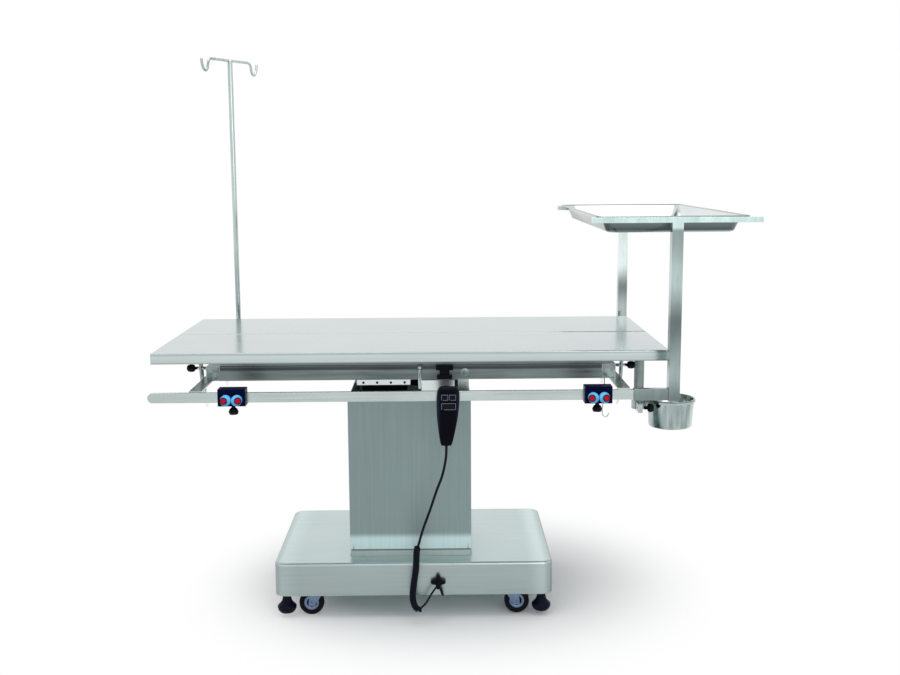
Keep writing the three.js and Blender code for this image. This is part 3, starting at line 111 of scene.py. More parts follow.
floor_fade.inputs["From Max"].default_value = white_reach
floor_rays = floor_nodes.new("ShaderNodeLightPath")
floor_seen = floor_nodes.new("ShaderNodeMath")
floor_seen.operation = "MAXIMUM"
floor_share = floor_nodes.new("ShaderNodeMath")
floor_share.operation = "MULTIPLY"
floor_mix = floor_nodes.new("ShaderNodeMixShader")
floor_links.new(floor_place.outputs["Object"], floor_reach.inputs[0])
floor_links.new(floor_reach.outputs["Value"], floor_fade.inputs["Value"])
floor_links.new(floor_rays.outputs["Is Camera Ray"], floor_seen.inputs[0])
floor_links.new(floor_rays.outputs["Is Glossy Ray"], floor_seen.inputs[1])
floor_links.new(floor_fade.outputs["Result"], floor_share.inputs[0])
floor_links.new(floor_seen.outputs[0], floor_share.inputs[1])
floor_links.new(floor_share.outputs[0], floor_mix.inputs["Fac"])
floor_links.new(floor_surface.outputs[0], floor_mix.inputs[1])
floor_links.new(floor_white.outputs[0], floor_mix.inputs[2])
floor_links.new(floor_mix.outputs[0], floor_nodes["Material Output"].inputs["Surface"])
floor_mesh.materials.append(floor_paint)


def soft_lamp(name, place, aim, size, power):
    """A square area lamp at place that faces aim."""
    lamp = bpy.data.lights.new(name, "AREA")
    lamp.shape = "SQUARE"
    lamp.size = size
    lamp.energy = power
    holder = bpy.data.objects.new(name, lamp)
    scene.collection.objects.link(holder)
    holder.location = place
    holder.rotation_euler = (Vector(place) - Vector(aim)).to_track_quat("Z", "Y").to_euler()


soft_lamp("overhead_softbox", place=(-0.4, -0.8, 4.2), aim=(0.0, 0.0, 0.4), size=3.5, power=70.0)
soft_lamp("front_softbox", place=(1.8, -4.2, 2.4), aim=(0.0, 0.0, 0.6), size=2.2, power=25.0)

photo_width = 900
focal_pixels = 1137.05
camera_spot = (-0.0281, -3.1859, 1.1994)
camera_swing, camera_dip, camera_roll = -0.010, 0.1506, -0.006
camera_data = bpy.data.cameras.new("photo_camera")
camera_data.sensor_width = 36.0
camera_data.lens = camera_data.sensor_width * focal_pixels / photo_width
camera = bpy.data.objects.new("photo_camera", camera_data)
camera_turn = Matrix.Rotation(camera_swing, 4, "Z") @ Matrix.Rotation(math.pi / 2 - camera_dip, 4, "X")
camera_turn = camera_turn @ Matrix.Rotation(camera_roll, 4, "Z")
camera.matrix_world = Matrix.Translation(camera_spot) @ camera_turn
scene.collection.objects.link(camera)
scene.camera = camera

# Base cover: a hood drawn from one steel sheet, with wide corners and a rolled top edge, over the chassis.
# One loft of rounded rectangles runs up the outside, over the edge, in to the opening round the column
# and back down the inside.
base_middle = np.round(np.mean(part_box("base_cover"), axis=0) * (1000, 1000, 0), 2)


def row(points):
    """Points in millimetres from the middle of the base, as metres in the frame's own axes."""
    return (np.asarray(points, float) + base_middle) / 1000


def node_box(node):
    """The low and the high corner of a CAD node, in millimetres from the middle of the base."""
    return np.array(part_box(node)) * 1000 - base_middle


def rounded_ring(length, width, radius, level, middle=(0, 0), steps=10):
    """A rounded rectangle on one level: a quarter circle of points at each corner."""
    quarter = np.linspace(0, np.pi / 2, steps)
    turns = np.concatenate([quarter + k * np.pi / 2 for k in range(4)])
    signs = np.repeat([[1, 1], [-1, 1], [-1, -1], [1, -1]], steps, axis=0)
    centres = signs * (np.array([length, width]) / 2 - radius) + middle
    outline = centres + radius * np.stack([np.cos(turns), np.sin(turns)], 1)
    return np.column_stack([outline, np.full(len(outline), level)])


def grid_mesh(name, grid, caps=("first", "last")):
    """A mesh over a grid of points, rings by sides: rings are closed, the first and last can get a cap."""
    rings, sides, _ = grid.shape
    corner = np.arange(rings * sides).reshape(rings, sides)
    beside = np.roll(corner, -1, axis=1)
    quads = np.stack([corner[:-1], beside[:-1], beside[1:], corner[1:]], -1)
    faces = quads.reshape(-1, 4).tolist()
    faces += [corner[-1].tolist()] if "last" in caps else []
    faces += [corner[0][::-1].tolist()] if "first" in caps else []
    mesh = bpy.data.meshes.new(name)
    mesh.from_pydata(grid.reshape(-1, 3).tolist(), [], faces)
    mesh.polygons.foreach_set("use_smooth", np.ones(len(faces), bool))
    mesh.update()
    piece = bpy.data.objects.new(name, mesh)
    scene.collection.objects.link(piece)
    return piece


def rolled_grain_group():
    """Node group: long scratches across a metal sheet, as a colour, a roughness and a height."""
    group = bpy.data.node_groups.new("rolled_grain", "ShaderNodeTree")
    group.interface.new_socket("Color", in_out="INPUT", socket_type="NodeSocketColor")
    group.interface.new_socket("Roughness", in_out="INPUT", socket_type="NodeSocketFloat")
    group.interface.new_socket("Stretch", in_out="INPUT", socket_type="NodeSocketVector")
    group.interface.new_socket("Variation", in_out="INPUT", socket_type="NodeSocketFloat")
    group.interface.new_socket("Color", in_out="OUTPUT", socket_type="NodeSocketColor")
    group.interface.new_socket("Roughness", in_out="OUTPUT", socket_type="NodeSocketFloat")
    group.interface.new_socket("Height", in_out="OUTPUT", socket_type="NodeSocketFloat")
    nodes, links = group.nodes, group.links
    given = nodes.new("NodeGroupInput")
    result = nodes.new("NodeGroupOutput")
    coordinates = nodes.new("ShaderNodeTexCoord")
    stretched = nodes.new("ShaderNodeVectorMath")
    stretched.operation = "MULTIPLY"
    scratches = nodes.new("ShaderNodeTexNoise")
    scratches.inputs["Scale"].default_value = 1.0
    scratches.inputs["Detail"].default_value = 8.0
    scratches.inputs["Roughness"].default_value = 0.65
    clouds = nodes.new("ShaderNodeTexNoise")
    clouds.inputs["Scale"].default_value = 5.0
    clouds.inputs["Detail"].default_value = 3.0
    mixed = nodes.new("ShaderNodeMath")
    mixed.operation = "MULTIPLY_ADD"
    mixed.inputs[1].default_value = 0.6
    shade = nodes.new("ShaderNodeMapRange")
    shade.inputs["From Min"].default_value = 0.5
    shade.inputs["From Max"].default_value = 1.1
    low = nodes.new("ShaderNodeMath")
    low.operation = "SUBTRACT"
    low.inputs[0].default_value = 1.0
    high = nodes.new("ShaderNodeMath")
    high.operation = "ADD"
    high.inputs[0].default_value = 1.0
    tint = nodes.new("ShaderNodeVectorMath")
    tint.operation = "SCALE"
    rough = nodes.new("ShaderNodeMath")
    rough.operation = "MULTIPLY"
    links.new(coordinates.outputs["Object"], stretched.inputs[0])
    links.new(given.outputs["Stretch"], stretched.inputs[1])
    links.new(stretched.outputs["Vector"], scratches.inputs["Vector"])
    links.new(coordinates.outputs["Object"], clouds.inputs["Vector"])
    links.new(clouds.outputs["Fac"], mixed.inputs[0])
    links.new(scratches.outputs["Fac"], mixed.inputs[2])
    links.new(mixed.outputs[0], shade.inputs["Value"])
    links.new(given.outputs["Variation"], low.inputs[1])
    links.new(given.outputs["Variation"], high.inputs[1])
    links.new(low.outputs[0], shade.inputs["To Min"])
    links.new(high.outputs[0], shade.inputs["To Max"])
    links.new(given.outputs["Color"], tint.inputs[0])
    links.new(shade.outputs["Result"], tint.inputs["Scale"])
    links.new(given.outputs["Roughness"], rough.inputs[0])
    links.new(shade.outputs["Result"], rough.inputs[1])
    links.new(tint.outputs["Vector"], result.inputs["Color"])
    links.new(rough.outputs[0], result.inputs["Roughness"])
    links.new(scratches.outputs["Fac"], result.inputs["Height"])
    return group


rolled_grain = rolled_grain_group()


def sheet_metal(name, colour, roughness, stretch, variation=0.05, bump=0.03, edge=0.0012):
    """Rolled steel: scratches along the longest way of stretch, and edges that catch the light."""
    paint = bpy.data.materials.new(name)
    paint.use_nodes = True
    nodes, links = paint.node_tree.nodes, paint.node_tree.links
    surface = nodes["Principled BSDF"]
    surface.inputs["Metallic"].default_value = 1.0
    grain = nodes.new("ShaderNodeGroup")
    grain.node_tree = rolled_grain
    grain.inputs["Color"].default_value = (*colour, 1.0)
    grain.inputs["Roughness"].default_value = roughness
    grain.inputs["Stretch"].default_value = stretch
    grain.inputs["Variation"].default_value = variation
    round_edge = nodes.new("ShaderNodeBevel")
    round_edge.inputs["Radius"].default_value = edge
    relief = nodes.new("ShaderNodeBump")
    relief.inputs["Strength"].default_value = bump
    relief.inputs["Distance"].default_value = 0.0003
    links.new(grain.outputs["Color"], surface.inputs["Base Color"])
    links.new(grain.outputs["Roughness"], surface.inputs["Roughness"])
    links.new(grain.outputs["Height"], relief.inputs["Height"])
    links.new(round_edge.outputs["Normal"], relief.inputs["Normal"])
    links.new(relief.outputs["Normal"], surface.inputs["Normal"])
    return paint


def shade_along(paint, axis, levels):
    """Paints light and shade into a finish's colour along an axis: pairs of place and factor, with a smooth
    step between two.
    """
    nodes, links = paint.node_tree.nodes, paint.node_tree.links
    surface = nodes["Principled BSDF"]
    plain = surface.inputs["Base Color"].links[0].from_socket
    place = nodes.new("ShaderNodeTexCoord")
    parts = nodes.new("ShaderNodeSeparateXYZ")
    links.new(place.outputs["Object"], parts.inputs[0])
    factor = None
    for (low, first), (high, second) in zip(levels[:-1], levels[1:]):
        step = nodes.new("ShaderNodeMapRange")
        step.interpolation_type = "SMOOTHSTEP"
        step.inputs["From Min"].default_value = low
        step.inputs["From Max"].default_value = high
        step.inputs["To Min"].default_value = 1.0
        step.inputs["To Max"].default_value = second / first
        links.new(parts.outputs[axis], step.inputs["Value"])
        joined = nodes.new("ShaderNodeMath")
        joined.operation = "MULTIPLY"
        joined.inputs[1].default_value = levels[0][1]
        links.new(step.outputs["Result"], joined.inputs[0])
        if factor is not None:
            links.new(factor, joined.inputs[1])
        factor = joined.outputs[0]
    scaled = nodes.new("ShaderNodeVectorMath")
    scaled.operation = "SCALE"
    links.new(plain, scaled.inputs[0])
    links.new(factor, scaled.inputs["Scale"])
    links.new(scaled.outputs["Vector"], surface.inputs["Base Color"])


hood_low, hood_high = node_box("base_cover")
hood_length, hood_width = (hood_high - hood_low)[:2]
hood_foot, hood_top = hood_low[2], hood_high[2]
hood_corner = 30
hood_sheet = 2
edge_radius = 7
edge_turn = np.linspace(0, np.pi / 2, 7)
edge_in = edge_radius * (1 - np.cos(edge_turn))
edge_level = hood_top - edge_radius * (1 - np.sin(edge_turn))
flat_inset = 12
column_low, column_high = node_box("column_cover")
mouth_middle = (column_low + column_high)[:2] / 2
mouth_length, mouth_width = (column_high - column_low)[:2] - 2 * hood_sheet
mouth_margin = 8
mouth_corner = 1.5


def hood_ring(inset, level):
    """The hood's outline, drawn in by the inset on all sides."""
    return rounded_ring(hood_length - 2 * inset, hood_width - 2 * inset, hood_corner - inset, level)


def mouth_ring(margin, level):
    """The outline of the opening round the column, with a margin added to its length and width."""
    return rounded_ring(mouth_length + margin, mouth_width + margin, mouth_corner, level, mouth_middle)


hood_rings = [hood_ring(0, hood_foot)]
hood_rings += [hood_ring(inset, level) for inset, level in zip(edge_in, edge_level)]
hood_rings += [hood_ring(flat_inset, hood_top), mouth_ring(mouth_margin, hood_top)]
hood_rings += [mouth_ring(0, hood_top), mouth_ring(0, hood_top - hood_sheet)]
hood_rings += [hood_ring(hood_sheet, hood_top - hood_sheet), hood_ring(hood_sheet, hood_foot)]
hood_rings += [hood_ring(0, hood_foot)]
base_hood = grid_mesh("base_hood", row(hood_rings), caps=())
base_steel = sheet_metal("base_steel", (0.345, 0.412, 0.407), roughness=0.30, stretch=(4.0, 160.0, 200.0),
                         variation=0.08)
# Painted light and shade on the hood: a dark line and a bright band down each rounded corner, and a lighter
# band along the top edge.
hood_left, hood_right = row([hood_low, hood_high])[:, 0]
hood_crown = hood_top / 1000
shade_along(base_steel, "X", [(hood_left, 0.5), (hood_left + 0.0055, 0.9), (hood_left + 0.0215, 1.12),
                              (hood_left + 0.0695, 1.0), (hood_right - 0.0705, 1.0),
                              (hood_right - 0.0265, 1.22), (hood_right - 0.0085, 0.95), (hood_right, 0.5)])
shade_along(base_steel, "Z", [(hood_crown - 0.009, 1.0), (hood_crown, 1.5)])
base_hood.data.materials.append(base_steel)
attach(base_hood, "base")
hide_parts("base_cover")

# Levelling feet: black moulded bells on steel studs under the four corners of the base, off the floor.
# Each is one turned profile: a flat pad, a wide rounded skirt and a slim neck.


def fine_grain_group():
    """Node group: speckle that varies a colour and gives a height, for rubber and moulded plastic."""
    group = bpy.data.node_groups.new("fine_grain", "ShaderNodeTree")
    group.interface.new_socket("Color", in_out="INPUT", socket_type="NodeSocketColor")
    group.interface.new_socket("Scale", in_out="INPUT", socket_type="NodeSocketFloat")
    group.interface.new_socket("Variation", in_out="INPUT", socket_type="NodeSocketFloat")
    group.interface.new_socket("Color", in_out="OUTPUT", socket_type="NodeSocketColor")
    group.interface.new_socket("Height", in_out="OUTPUT", socket_type="NodeSocketFloat")
    nodes, links = group.nodes, group.links
    given = nodes.new("NodeGroupInput")
    result = nodes.new("NodeGroupOutput")
    coordinates = nodes.new("ShaderNodeTexCoord")
    speckle = nodes.new("ShaderNodeTexNoise")
    speckle.inputs["Detail"].default_value = 6.0
    patches = nodes.new("ShaderNodeTexNoise")
    patches.inputs["Scale"].default_value = 14.0
    both = nodes.new("ShaderNodeMath")
    both.operation = "MULTIPLY_ADD"
    both.inputs[1].default_value = 0.5
    shade = nodes.new("ShaderNodeMapRange")
    shade.inputs["From Min"].default_value = 0.3
    shade.inputs["From Max"].default_value = 1.1
    low = nodes.new("ShaderNodeMath")
    low.operation = "SUBTRACT"
    low.inputs[0].default_value = 1.0
    high = nodes.new("ShaderNodeMath")
    high.operation = "ADD"
    high.inputs[0].default_value = 1.0
    tint = nodes.new("ShaderNodeVectorMath")
    tint.operation = "SCALE"
    links.new(coordinates.outputs["Object"], speckle.inputs["Vector"])
    links.new(coordinates.outputs["Object"], patches.inputs["Vector"])
    links.new(given.outputs["Scale"], speckle.inputs["Scale"])
    links.new(speckle.outputs["Fac"], both.inputs[0])
    links.new(patches.outputs["Fac"], both.inputs[2])
    links.new(both.outputs[0], shade.inputs["Value"])
    links.new(given.outputs["Variation"], low.inputs[1])
    links.new(given.outputs["Variation"], high.inputs[1])
    links.new(low.outputs[0], shade.inputs["To Min"])
    links.new(high.outputs[0], shade.inputs["To Max"])
    links.new(given.outputs["Color"], tint.inputs[0])
    links.new(shade.outputs["Result"], tint.inputs["Scale"])
    links.new(tint.outputs["Vector"], result.inputs["Color"])
    links.new(speckle.outputs["Fac"], result.inputs["Height"])
    return group


fine_grain = fine_grain_group()


def moulded(name, colour, roughness, scale=900.0, variation=0.25, bump=0.06):
    """A moulded rubber or plastic: a speckled colour with a fine grain on the surface."""
    paint = bpy.data.materials.new(name)
    paint.use_nodes = True
    nodes, links = paint.node_tree.nodes, paint.node_tree.links
    surface = nodes["Principled BSDF"]
    grain = nodes.new("ShaderNodeGroup")
    grain.node_tree = fine_grain
    grain.inputs["Color"].default_value = (*colour, 1.0)
    grain.inputs["Scale"].default_value = scale
    grain.inputs["Variation"].default_value = variation
    relief = nodes.new("ShaderNodeBump")
    relief.inputs["Strength"].default_value = bump
    relief.inputs["Distance"].default_value = 0.0004
    links.new(grain.outputs["Color"], surface.inputs["Base Color"])
    links.new(grain.outputs["Height"], relief.inputs["Height"])
    links.new(relief.outputs["Normal"], surface.inputs["Normal"])
    surface.inputs["Roughness"].default_value = roughness
    surface.inputs["Specular IOR Level"].default_value = 0.08
    return paint


def node_middle(node):
    """The middle of a CAD node's box, in millimetres from the middle of the base."""
    return node_box(node).mean(axis=0)


def lathe(name, profile, place, body, finish, axis="z", sides=40):
    """A turned piece: each profile point, radius and height, is swept round an axis through the place."""
    turn = np.linspace(0, 2 * np.pi, sides, endpoint=False)
    r, h = np.asarray(profile, float).T
    round_x = r[:, None] * np.cos(turn)
    round_y = r[:, None] * np.sin(turn)
    level = np.broadcast_to(h[:, None], round_x.shape)
    order = {"x": (level, round_x, round_y), "y": (round_y, level, round_x), "z": (round_x, round_y, level)}
    shape = np.stack(order[axis], -1)
    piece = grid_mesh(name, row(shape + np.asarray(place, float)))
    piece.data.materials.append(finish)
    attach(piece, body)
    return piece


corners = ["front_left", "front_right", "rear_left", "rear_right"]
foot_plastic = moulded("foot_plastic", (0.003, 0.0045, 0.014), roughness=0.40)
foot_profile = [(0, 12), (14, 12), (18, 13), (22, 17), (24.8, 23), (25.6, 28), (24.8, 31), (21.6, 34.5),
                (17.4, 38.5), (14.2, 43.5), (12, 50), (11, 58), (11, 67), (6, 68), (6, 95), (0, 95)]
for corner in corners:
    foot_node = "levelling_foot_" + corner
    foot_place = node_middle(foot_node) * (1, 1, 0)
    foot = lathe(foot_node + "_turned", foot_profile, foot_place, "foot_" + corner, foot_plastic)
    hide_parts(foot_node)

# Casters: black rubber tyres with rounded shoulders on pale rims, turning on axles in zinc-plated forks.
# The tyre replaces the plain wheel, and a dished steel disc with a hub cap sits in each of its two faces.


def dress(finish, *nodes):
    """Gives a finish to CAD nodes whose own shape is kept."""
    for node in nodes:
        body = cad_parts[node]
        body.data.materials.clear()
        body.data.materials.append(finish)


zinc_steel = sheet_metal("zinc_steel", (0.16, 0.22, 0.33), roughness=0.28, stretch=(90.0, 90.0, 90.0),
                         variation=0.3)
tyre_rubber = moulded("wheel_rubber", (0.008, 0.008, 0.011), roughness=0.7)
tyre_half = [(4.3, 13), (8, 13), (10, 9.5), (21, 9.5), (22.5, 12), (28, 12.4), (31.5, 10.8), (33.2, 7),
             (33.5, 0)]
tyre_profile = [(r, -h) for r, h in tyre_half[:-1]] + tyre_half[::-1]
disc_profile = [(0, 12.4), (5, 12.2), (7.4, 11), (8.2, 9.5), (12.6, 9.5), (14, 10.9), (18.6, 10.9),
                (20.5, 10.2), (20.8, 9.2), (0, 9.2)]
for corner in corners:
    wheel_node = "caster_wheel_" + corner
    wheel_body = "wheel_" + corner
    axle = node_middle(wheel_node)
    dress(zinc_steel, "caster_fork_" + corner)
    tyre = lathe(wheel_node + "_turned", tyre_profile, axle, wheel_body, tyre_rubber, "y")
    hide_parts(wheel_node)
    for face, side in ((-1, "front"), (1, "rear")):
        faced = [(r, face * h) for r, h in disc_profile[::-face]]
        lathe(f"{wheel_node}_{side}_disc", faced, axle, wheel_body, zinc_steel, "y")

# Cord socket: a black moulded socket on the base's front, with a short strap that hangs from it to the
# base's lower edge. The strap is one bent piece of round rubber.


def smooth_line(points, count):
    """A centripetal Catmull-Rom curve through the points, resampled to count points of equal spacing."""
    points = np.asarray(points, float)
    ends = np.vstack([2 * points[0] - points[1], points, 2 * points[-1] - points[-2]])
    knots = np.concatenate([[0], np.cumsum(np.linalg.norm(np.diff(ends, axis=0), axis=1) ** 0.5)])
    span_points = 60
    dense = []
    for k in range(1, len(ends) - 2):
        t0, t1, t2, t3 = knots[k - 1:k + 3]
        t = np.linspace(t1, t2, span_points, endpoint=False)[:, None]
        p0, p1, p2, p3 = ends[k - 1:k + 3]
        a1 = (t1 - t) / (t1 - t0) * p0 + (t - t0) / (t1 - t0) * p1
        a2 = (t2 - t) / (t2 - t1) * p1 + (t - t1) / (t2 - t1) * p2
        a3 = (t3 - t) / (t3 - t2) * p2 + (t - t2) / (t3 - t2) * p3
        b1 = (t2 - t) / (t2 - t0) * a1 + (t - t0) / (t2 - t0) * a2
        b2 = (t3 - t) / (t3 - t1) * a2 + (t - t1) / (t3 - t1) * a3
        dense.append((t2 - t) / (t2 - t1) * b1 + (t - t1) / (t2 - t1) * b2)
    dense = np.vstack(dense + [points[-1:]])
    reach = np.concatenate([[0], np.cumsum(np.linalg.norm(np.diff(dense, axis=0), axis=1))])
    even = np.linspace(0, reach[-1], count)
    return np.stack([np.interp(even, reach, dense[:, i]) for i in range(3)], 1)


def level_frames(line):
    """Unit tangents of a line with two normals each, carried along without twisting."""
    tangent = np.gradient(line, axis=0)
    tangent /= np.linalg.norm(tangent, axis=1)[:, None]
    across = (0.3, 1.0, 0.2)
    start = np.cross(tangent[0], across)
    normals = [start / np.linalg.norm(start)]
    for t in tangent[1:]:
        n = normals[-1] - t * np.dot(normals[-1], t)
        normals.append(n / np.linalg.norm(n))
    normal = np.array(normals)
    return tangent, normal, np.cross(tangent, normal)


def tube(name, line, radius, sides=10):
    """A round tube: a circle of the given radius, carried along a line."""
    _, n, b = level_frames(line)
    turn = np.linspace(0, 2 * np.pi, sides, endpoint=False)
    ring = n[:, None] * np.cos(turn)[None, :, None] + b[:, None] * np.sin(turn)[None, :, None]
    return grid_mesh(name, line[:, None] + radius * ring)


def line_piece(name, points, radius, body, finish, count=40):
    """A thin bent rod through the given points."""
    piece = tube(name, smooth_line(row(points), count), radius / 1000, 10)
    piece.data.materials.append(finish)
    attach(piece, body)


black_plastic = moulded("black_plastic", (0.004, 0.0045, 0.008), roughness=0.42)
cord_rubber = moulded("cord_rubber", (0.004, 0.005, 0.012), roughness=0.45)
strap_radius = 3.2
strap_points = [(67, -262, 101), (72, -263, 92), (74, -258, 82), (77, -246, 70)]
dress(black_plastic, "cord_socket")
line_piece("plug_strap", strap_points, strap_radius, "base", cord_rubber, 16)

# Lifting column: a box of brushed steel sheet that slides up over a fixed inner column on the chassis.
# The motor's tube and its bright rod stand inside. A band of painted shade runs round the inner column
# in the gap at the foot of the sliding box.
column_steel = sheet_metal("column_steel", (0.23, 0.298, 0.302), roughness=0.36,
                           stretch=(150.0, 150.0, 3.0), variation=0.10)
collar_steel = sheet_metal("collar_steel", (0.42, 0.49, 0.485), roughness=0.34,
                           stretch=(120.0, 120.0, 4.0), variation=0.08)
bright_steel = sheet_metal("polished_steel", (0.45, 0.53, 0.52), roughness=0.14,
                           stretch=(160.0, 160.0, 3.0), variation=0.45)
column_foot = column_low[2] / 1000
# Painted reflection of the base's top: the column's sheet is lighter along its lower edge, fading out
# upwards.
shade_along(column_steel, "Z", [(column_foot + 0.027, 2.2), (column_foot + 0.047, 1.0)])
# Painted shade: a dark band round the inner column where it meets the foot of the sliding box.
shade_along(collar_steel, "Z", [(column_foot - 0.007, 1.0), (column_foot - 0.0015, 0.25),
                                (column_foot + 0.001, 0.25), (column_foot + 0.006, 1.0)])
dress(column_steel, "column_cover", "chassis")
dress(collar_steel, "inner_column")
dress(bright_steel, "lift_actuator_rod")
dress(black_plastic, "lift_actuator_tube")

# Tilt drive in the column's mouth: a black motor housing, a bright shaft and push rod, and the satin head.
# A bright bar is held along the housing's front by four dark hexagon bolts, and leans back a little.
# A folded steel cover stands in front of the crank, screwed to the head.


def flat_faces(piece):
    """Takes the smooth shading off a piece with sharp edges."""
    piece.data.polygons.foreach_set("use_smooth", np.zeros(len(piece.data.polygons), bool))


def box_piece(name, low, high, body, finish, chamfer=0.8):
    """A block from its low corner to its high corner, with its edges cut at the chamfer."""
    low, high = np.asarray(low, float), np.asarray(high, float)
    x0, y0, z0 = low
    x1, y1, z1 = high
    c = chamfer
    ring = np.array([[x0 + c, y0], [x1 - c, y0], [x1, y0 + c], [x1, y1 - c],
                     [x1 - c, y1], [x0 + c, y1], [x0, y1 - c], [x0, y0 + c]])
    level = np.array([z0, z0 + c, z1 - c, z1])
    inset = np.array([1 - 2 * c / (x1 - x0), 1, 1, 1 - 2 * c / (x1 - x0)])
    middle = (low[:2] + high[:2]) / 2
    flat = middle + (ring - middle) * inset[:, None, None]
    grid = np.concatenate([flat, np.broadcast_to(level[:, None, None], (4, 8, 1))], -1)
    piece = grid_mesh(name, row(grid))
    flat_faces(piece)
    piece.data.materials.append(finish)
    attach(piece, body)


frame_steel = sheet_metal("satin_steel", (0.50, 0.57, 0.555), roughness=0.26, stretch=(5.0, 60.0, 160.0),
                          variation=0.16)
tray_floor_steel = sheet_metal("tray_floor_steel", (0.68, 0.74, 0.73), roughness=0.14,
                               stretch=(4.0, 7.0, 20.0), variation=0.12)
# Painted shadow: above the rim's level, the rolled bead of the tray's inner skin is darkened to a thin
# line. This light steel, a lit copy of the pan's steel, also finishes the bright strip and the gear cover.
tray_rim = node_box("instrument_tray")[1][2] / 1000
shade_along(tray_floor_steel, "Z", [(tray_rim - 0.001, 1.0), (tray_rim - 0.0004, 0.25),
                                    (tray_rim + 0.0014, 0.25)])
dress(frame_steel, "column_head")
dress(black_plastic, "tilt_actuator")
dress(bright_steel, "tilt_shaft", "tilt_actuator_rod")
strip_left, strip_right = -156, -8
strip_foot, strip_head = 598, 614
strip_back = node_box("tilt_actuator")[0][1] - 0.4
strip_thick, strip_thin = 4, 2.6
strip_rings = []
for strip_level, strip_depth in ((strip_foot, strip_thick), (strip_head, strip_thin)):
    strip_front = strip_back - strip_depth
    strip_rings.append([(strip_left, strip_front, strip_level), (strip_right, strip_front, strip_level),
                        (strip_right, strip_back, strip_level), (strip_left, strip_back, strip_level)])
mouth_strip = grid_mesh("mouth_strip", row(strip_rings))
flat_faces(mouth_strip)
mouth_strip.data.materials.append(tray_floor_steel)
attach(mouth_strip, "carriage")
bolt_profile = [(0, -3), (3.6, -3), (3.6, 0), (0, 0)]
bolt_seat = strip_back - 2.8
bolt_level = 605
bolt_first, bolt_spacing = -138, 38
for k in range(4):
    bolt_place = (bolt_first + k * bolt_spacing, bolt_seat, bolt_level)
    lathe("column_head_mouth_bolt", bolt_profile, bolt_place, "carriage", black_plastic, "y", sides=6)
gear_low, gear_high = (24, -150, 545), (112, -62, 633)
box_piece("gear_cover", gear_low, gear_high, "carriage", tray_floor_steel)

# Top frame: two long steel channels and a spine under the seam, joined by a square tube across each end.
# Thin square caps are welded into the open tube mouths, flush with the channels' outer faces, and a steel
# strip on edge is welded along each channel to close the gap up to the leaf.
# The channels' steel is painted dark for the shade under the leaves, on the spine and the strips up to the
# leaf as well. Along the channels' height it is painted with bands of reflection: light low down, then a
# dark streak and a bright line near the top.
shaded_beam_steel = sheet_metal("shaded_beam_steel", (0.13, 0.155, 0.155), roughness=0.34, stretch=(4.0, 60.0, 95.0),
                         variation=0.35)
end_steel = sheet_metal("end_steel", (0.44, 0.505, 0.495), roughness=0.24, stretch=(60.0, 5.0, 70.0),
                        variation=0.16, bump=0.015)
weld_steel = sheet_metal("weld_steel", (0.25, 0.30, 0.297), roughness=0.22, stretch=(55.0, 55.0, 55.0),
                         variation=0.9)
beam_low, beam_high = node_box("frame_beam_front")
beam_foot = beam_low[2] / 1000
shade_along(shaded_beam_steel, "Z", [(beam_foot, 1.7), (beam_foot + 0.024, 1.7), (beam_foot + 0.028, 0.55),
                              (beam_foot + 0.033, 0.55), (beam_foot + 0.039, 1.9),
                              (beam_foot + 0.044, 1.0)])
dress(shaded_beam_steel, "frame_beam_front", "frame_beam_rear", "seam_spine")
dress(end_steel, "frame_end_head", "frame_end_tail")
beam_half = beam_high[0]
beam_face = -beam_low[1]
cap_inset, cap_width, cap_half_sheet, cap_chamfer = 1.5, 32, 0.7, 0.4
flange_inner, flange_outer, flange_gap, flange_top = 244, 252, 0.2, 709
for end in (-1, 1):
    for side in (-1, 1):
        cap_x = sorted((end * (beam_half + cap_inset), end * (beam_half + cap_inset + cap_width)))
        cap_y = sorted((side * (beam_face - cap_half_sheet), side * (beam_face + cap_half_sheet)))
        cap_low = (cap_x[0], cap_y[0], beam_low[2] + cap_inset)
        cap_high = (cap_x[1], cap_y[1], beam_high[2] - cap_inset)
        box_piece(f"frame_tube_cap_{end}_{side}", cap_low, cap_high, "frame", weld_steel, cap_chamfer)
for side in (-1, 1):
    flange_y = sorted((side * flange_inner, side * flange_outer))
    flange_low = (-beam_half, flange_y[0], beam_high[2] + flange_gap)
    flange_high = (beam_half, flange_y[1], flange_top)
    box_piece(f"channel_flange_{side}", flange_low, flange_high, "frame", shaded_beam_steel)

# Stop on the front channel: a black rubber bumper with a narrow waist, and a bright rod with a ball end.
# Both are fixed to the channel's face, the bumper right above the handset and the rod beside it.
bumper_back = beam_low[1] - 0.5
for part, left, right, depth, foot_level, head_level in (("top", 64, 107, 10, 680, 693),
                                                         ("waist", 73, 98, 8, 668, 680.2),
                                                         ("foot", 66, 105, 10, 657, 668.2)):
    bumper_low = (left, bumper_back - depth, foot_level)
    bumper_high = (right, bumper_back, head_level)
    box_piece("bumper_" + part, bumper_low, bumper_high, "frame", black_plastic)
guide_x, guide_y = 22, -264
guide_radius = 4.2
guide_points = [(guide_x, guide_y, level) for level in (632, 650, 684)]
line_piece("guide_rod", guide_points, guide_radius, "frame", bright_steel, 12)
ball_profile = [(0, -6), (3.5, -5), (6, 0), (5, 4), (0, 6.5)]
ball_level = 688
lathe("frame_beam_front_guide_ball", ball_profile, (guide_x, guide_y, ball_level), "frame", bright_steel)

# Wire with a hook at the tail end of the frame: thin bright wire that hangs behind the cleat.
# One bent wire, held in the end tube and turned up in a small open hook.
wire_radius = 1.2
wire_points = [(496, -262, 657), (493, -285, 640), (490, -300, 610), (486, -302, 580), (488, -303, 567),
               (496, -303, 563), (503, -303, 573)]
line_piece("hook_wire", wire_points, wire_radius, "frame", bright_steel)

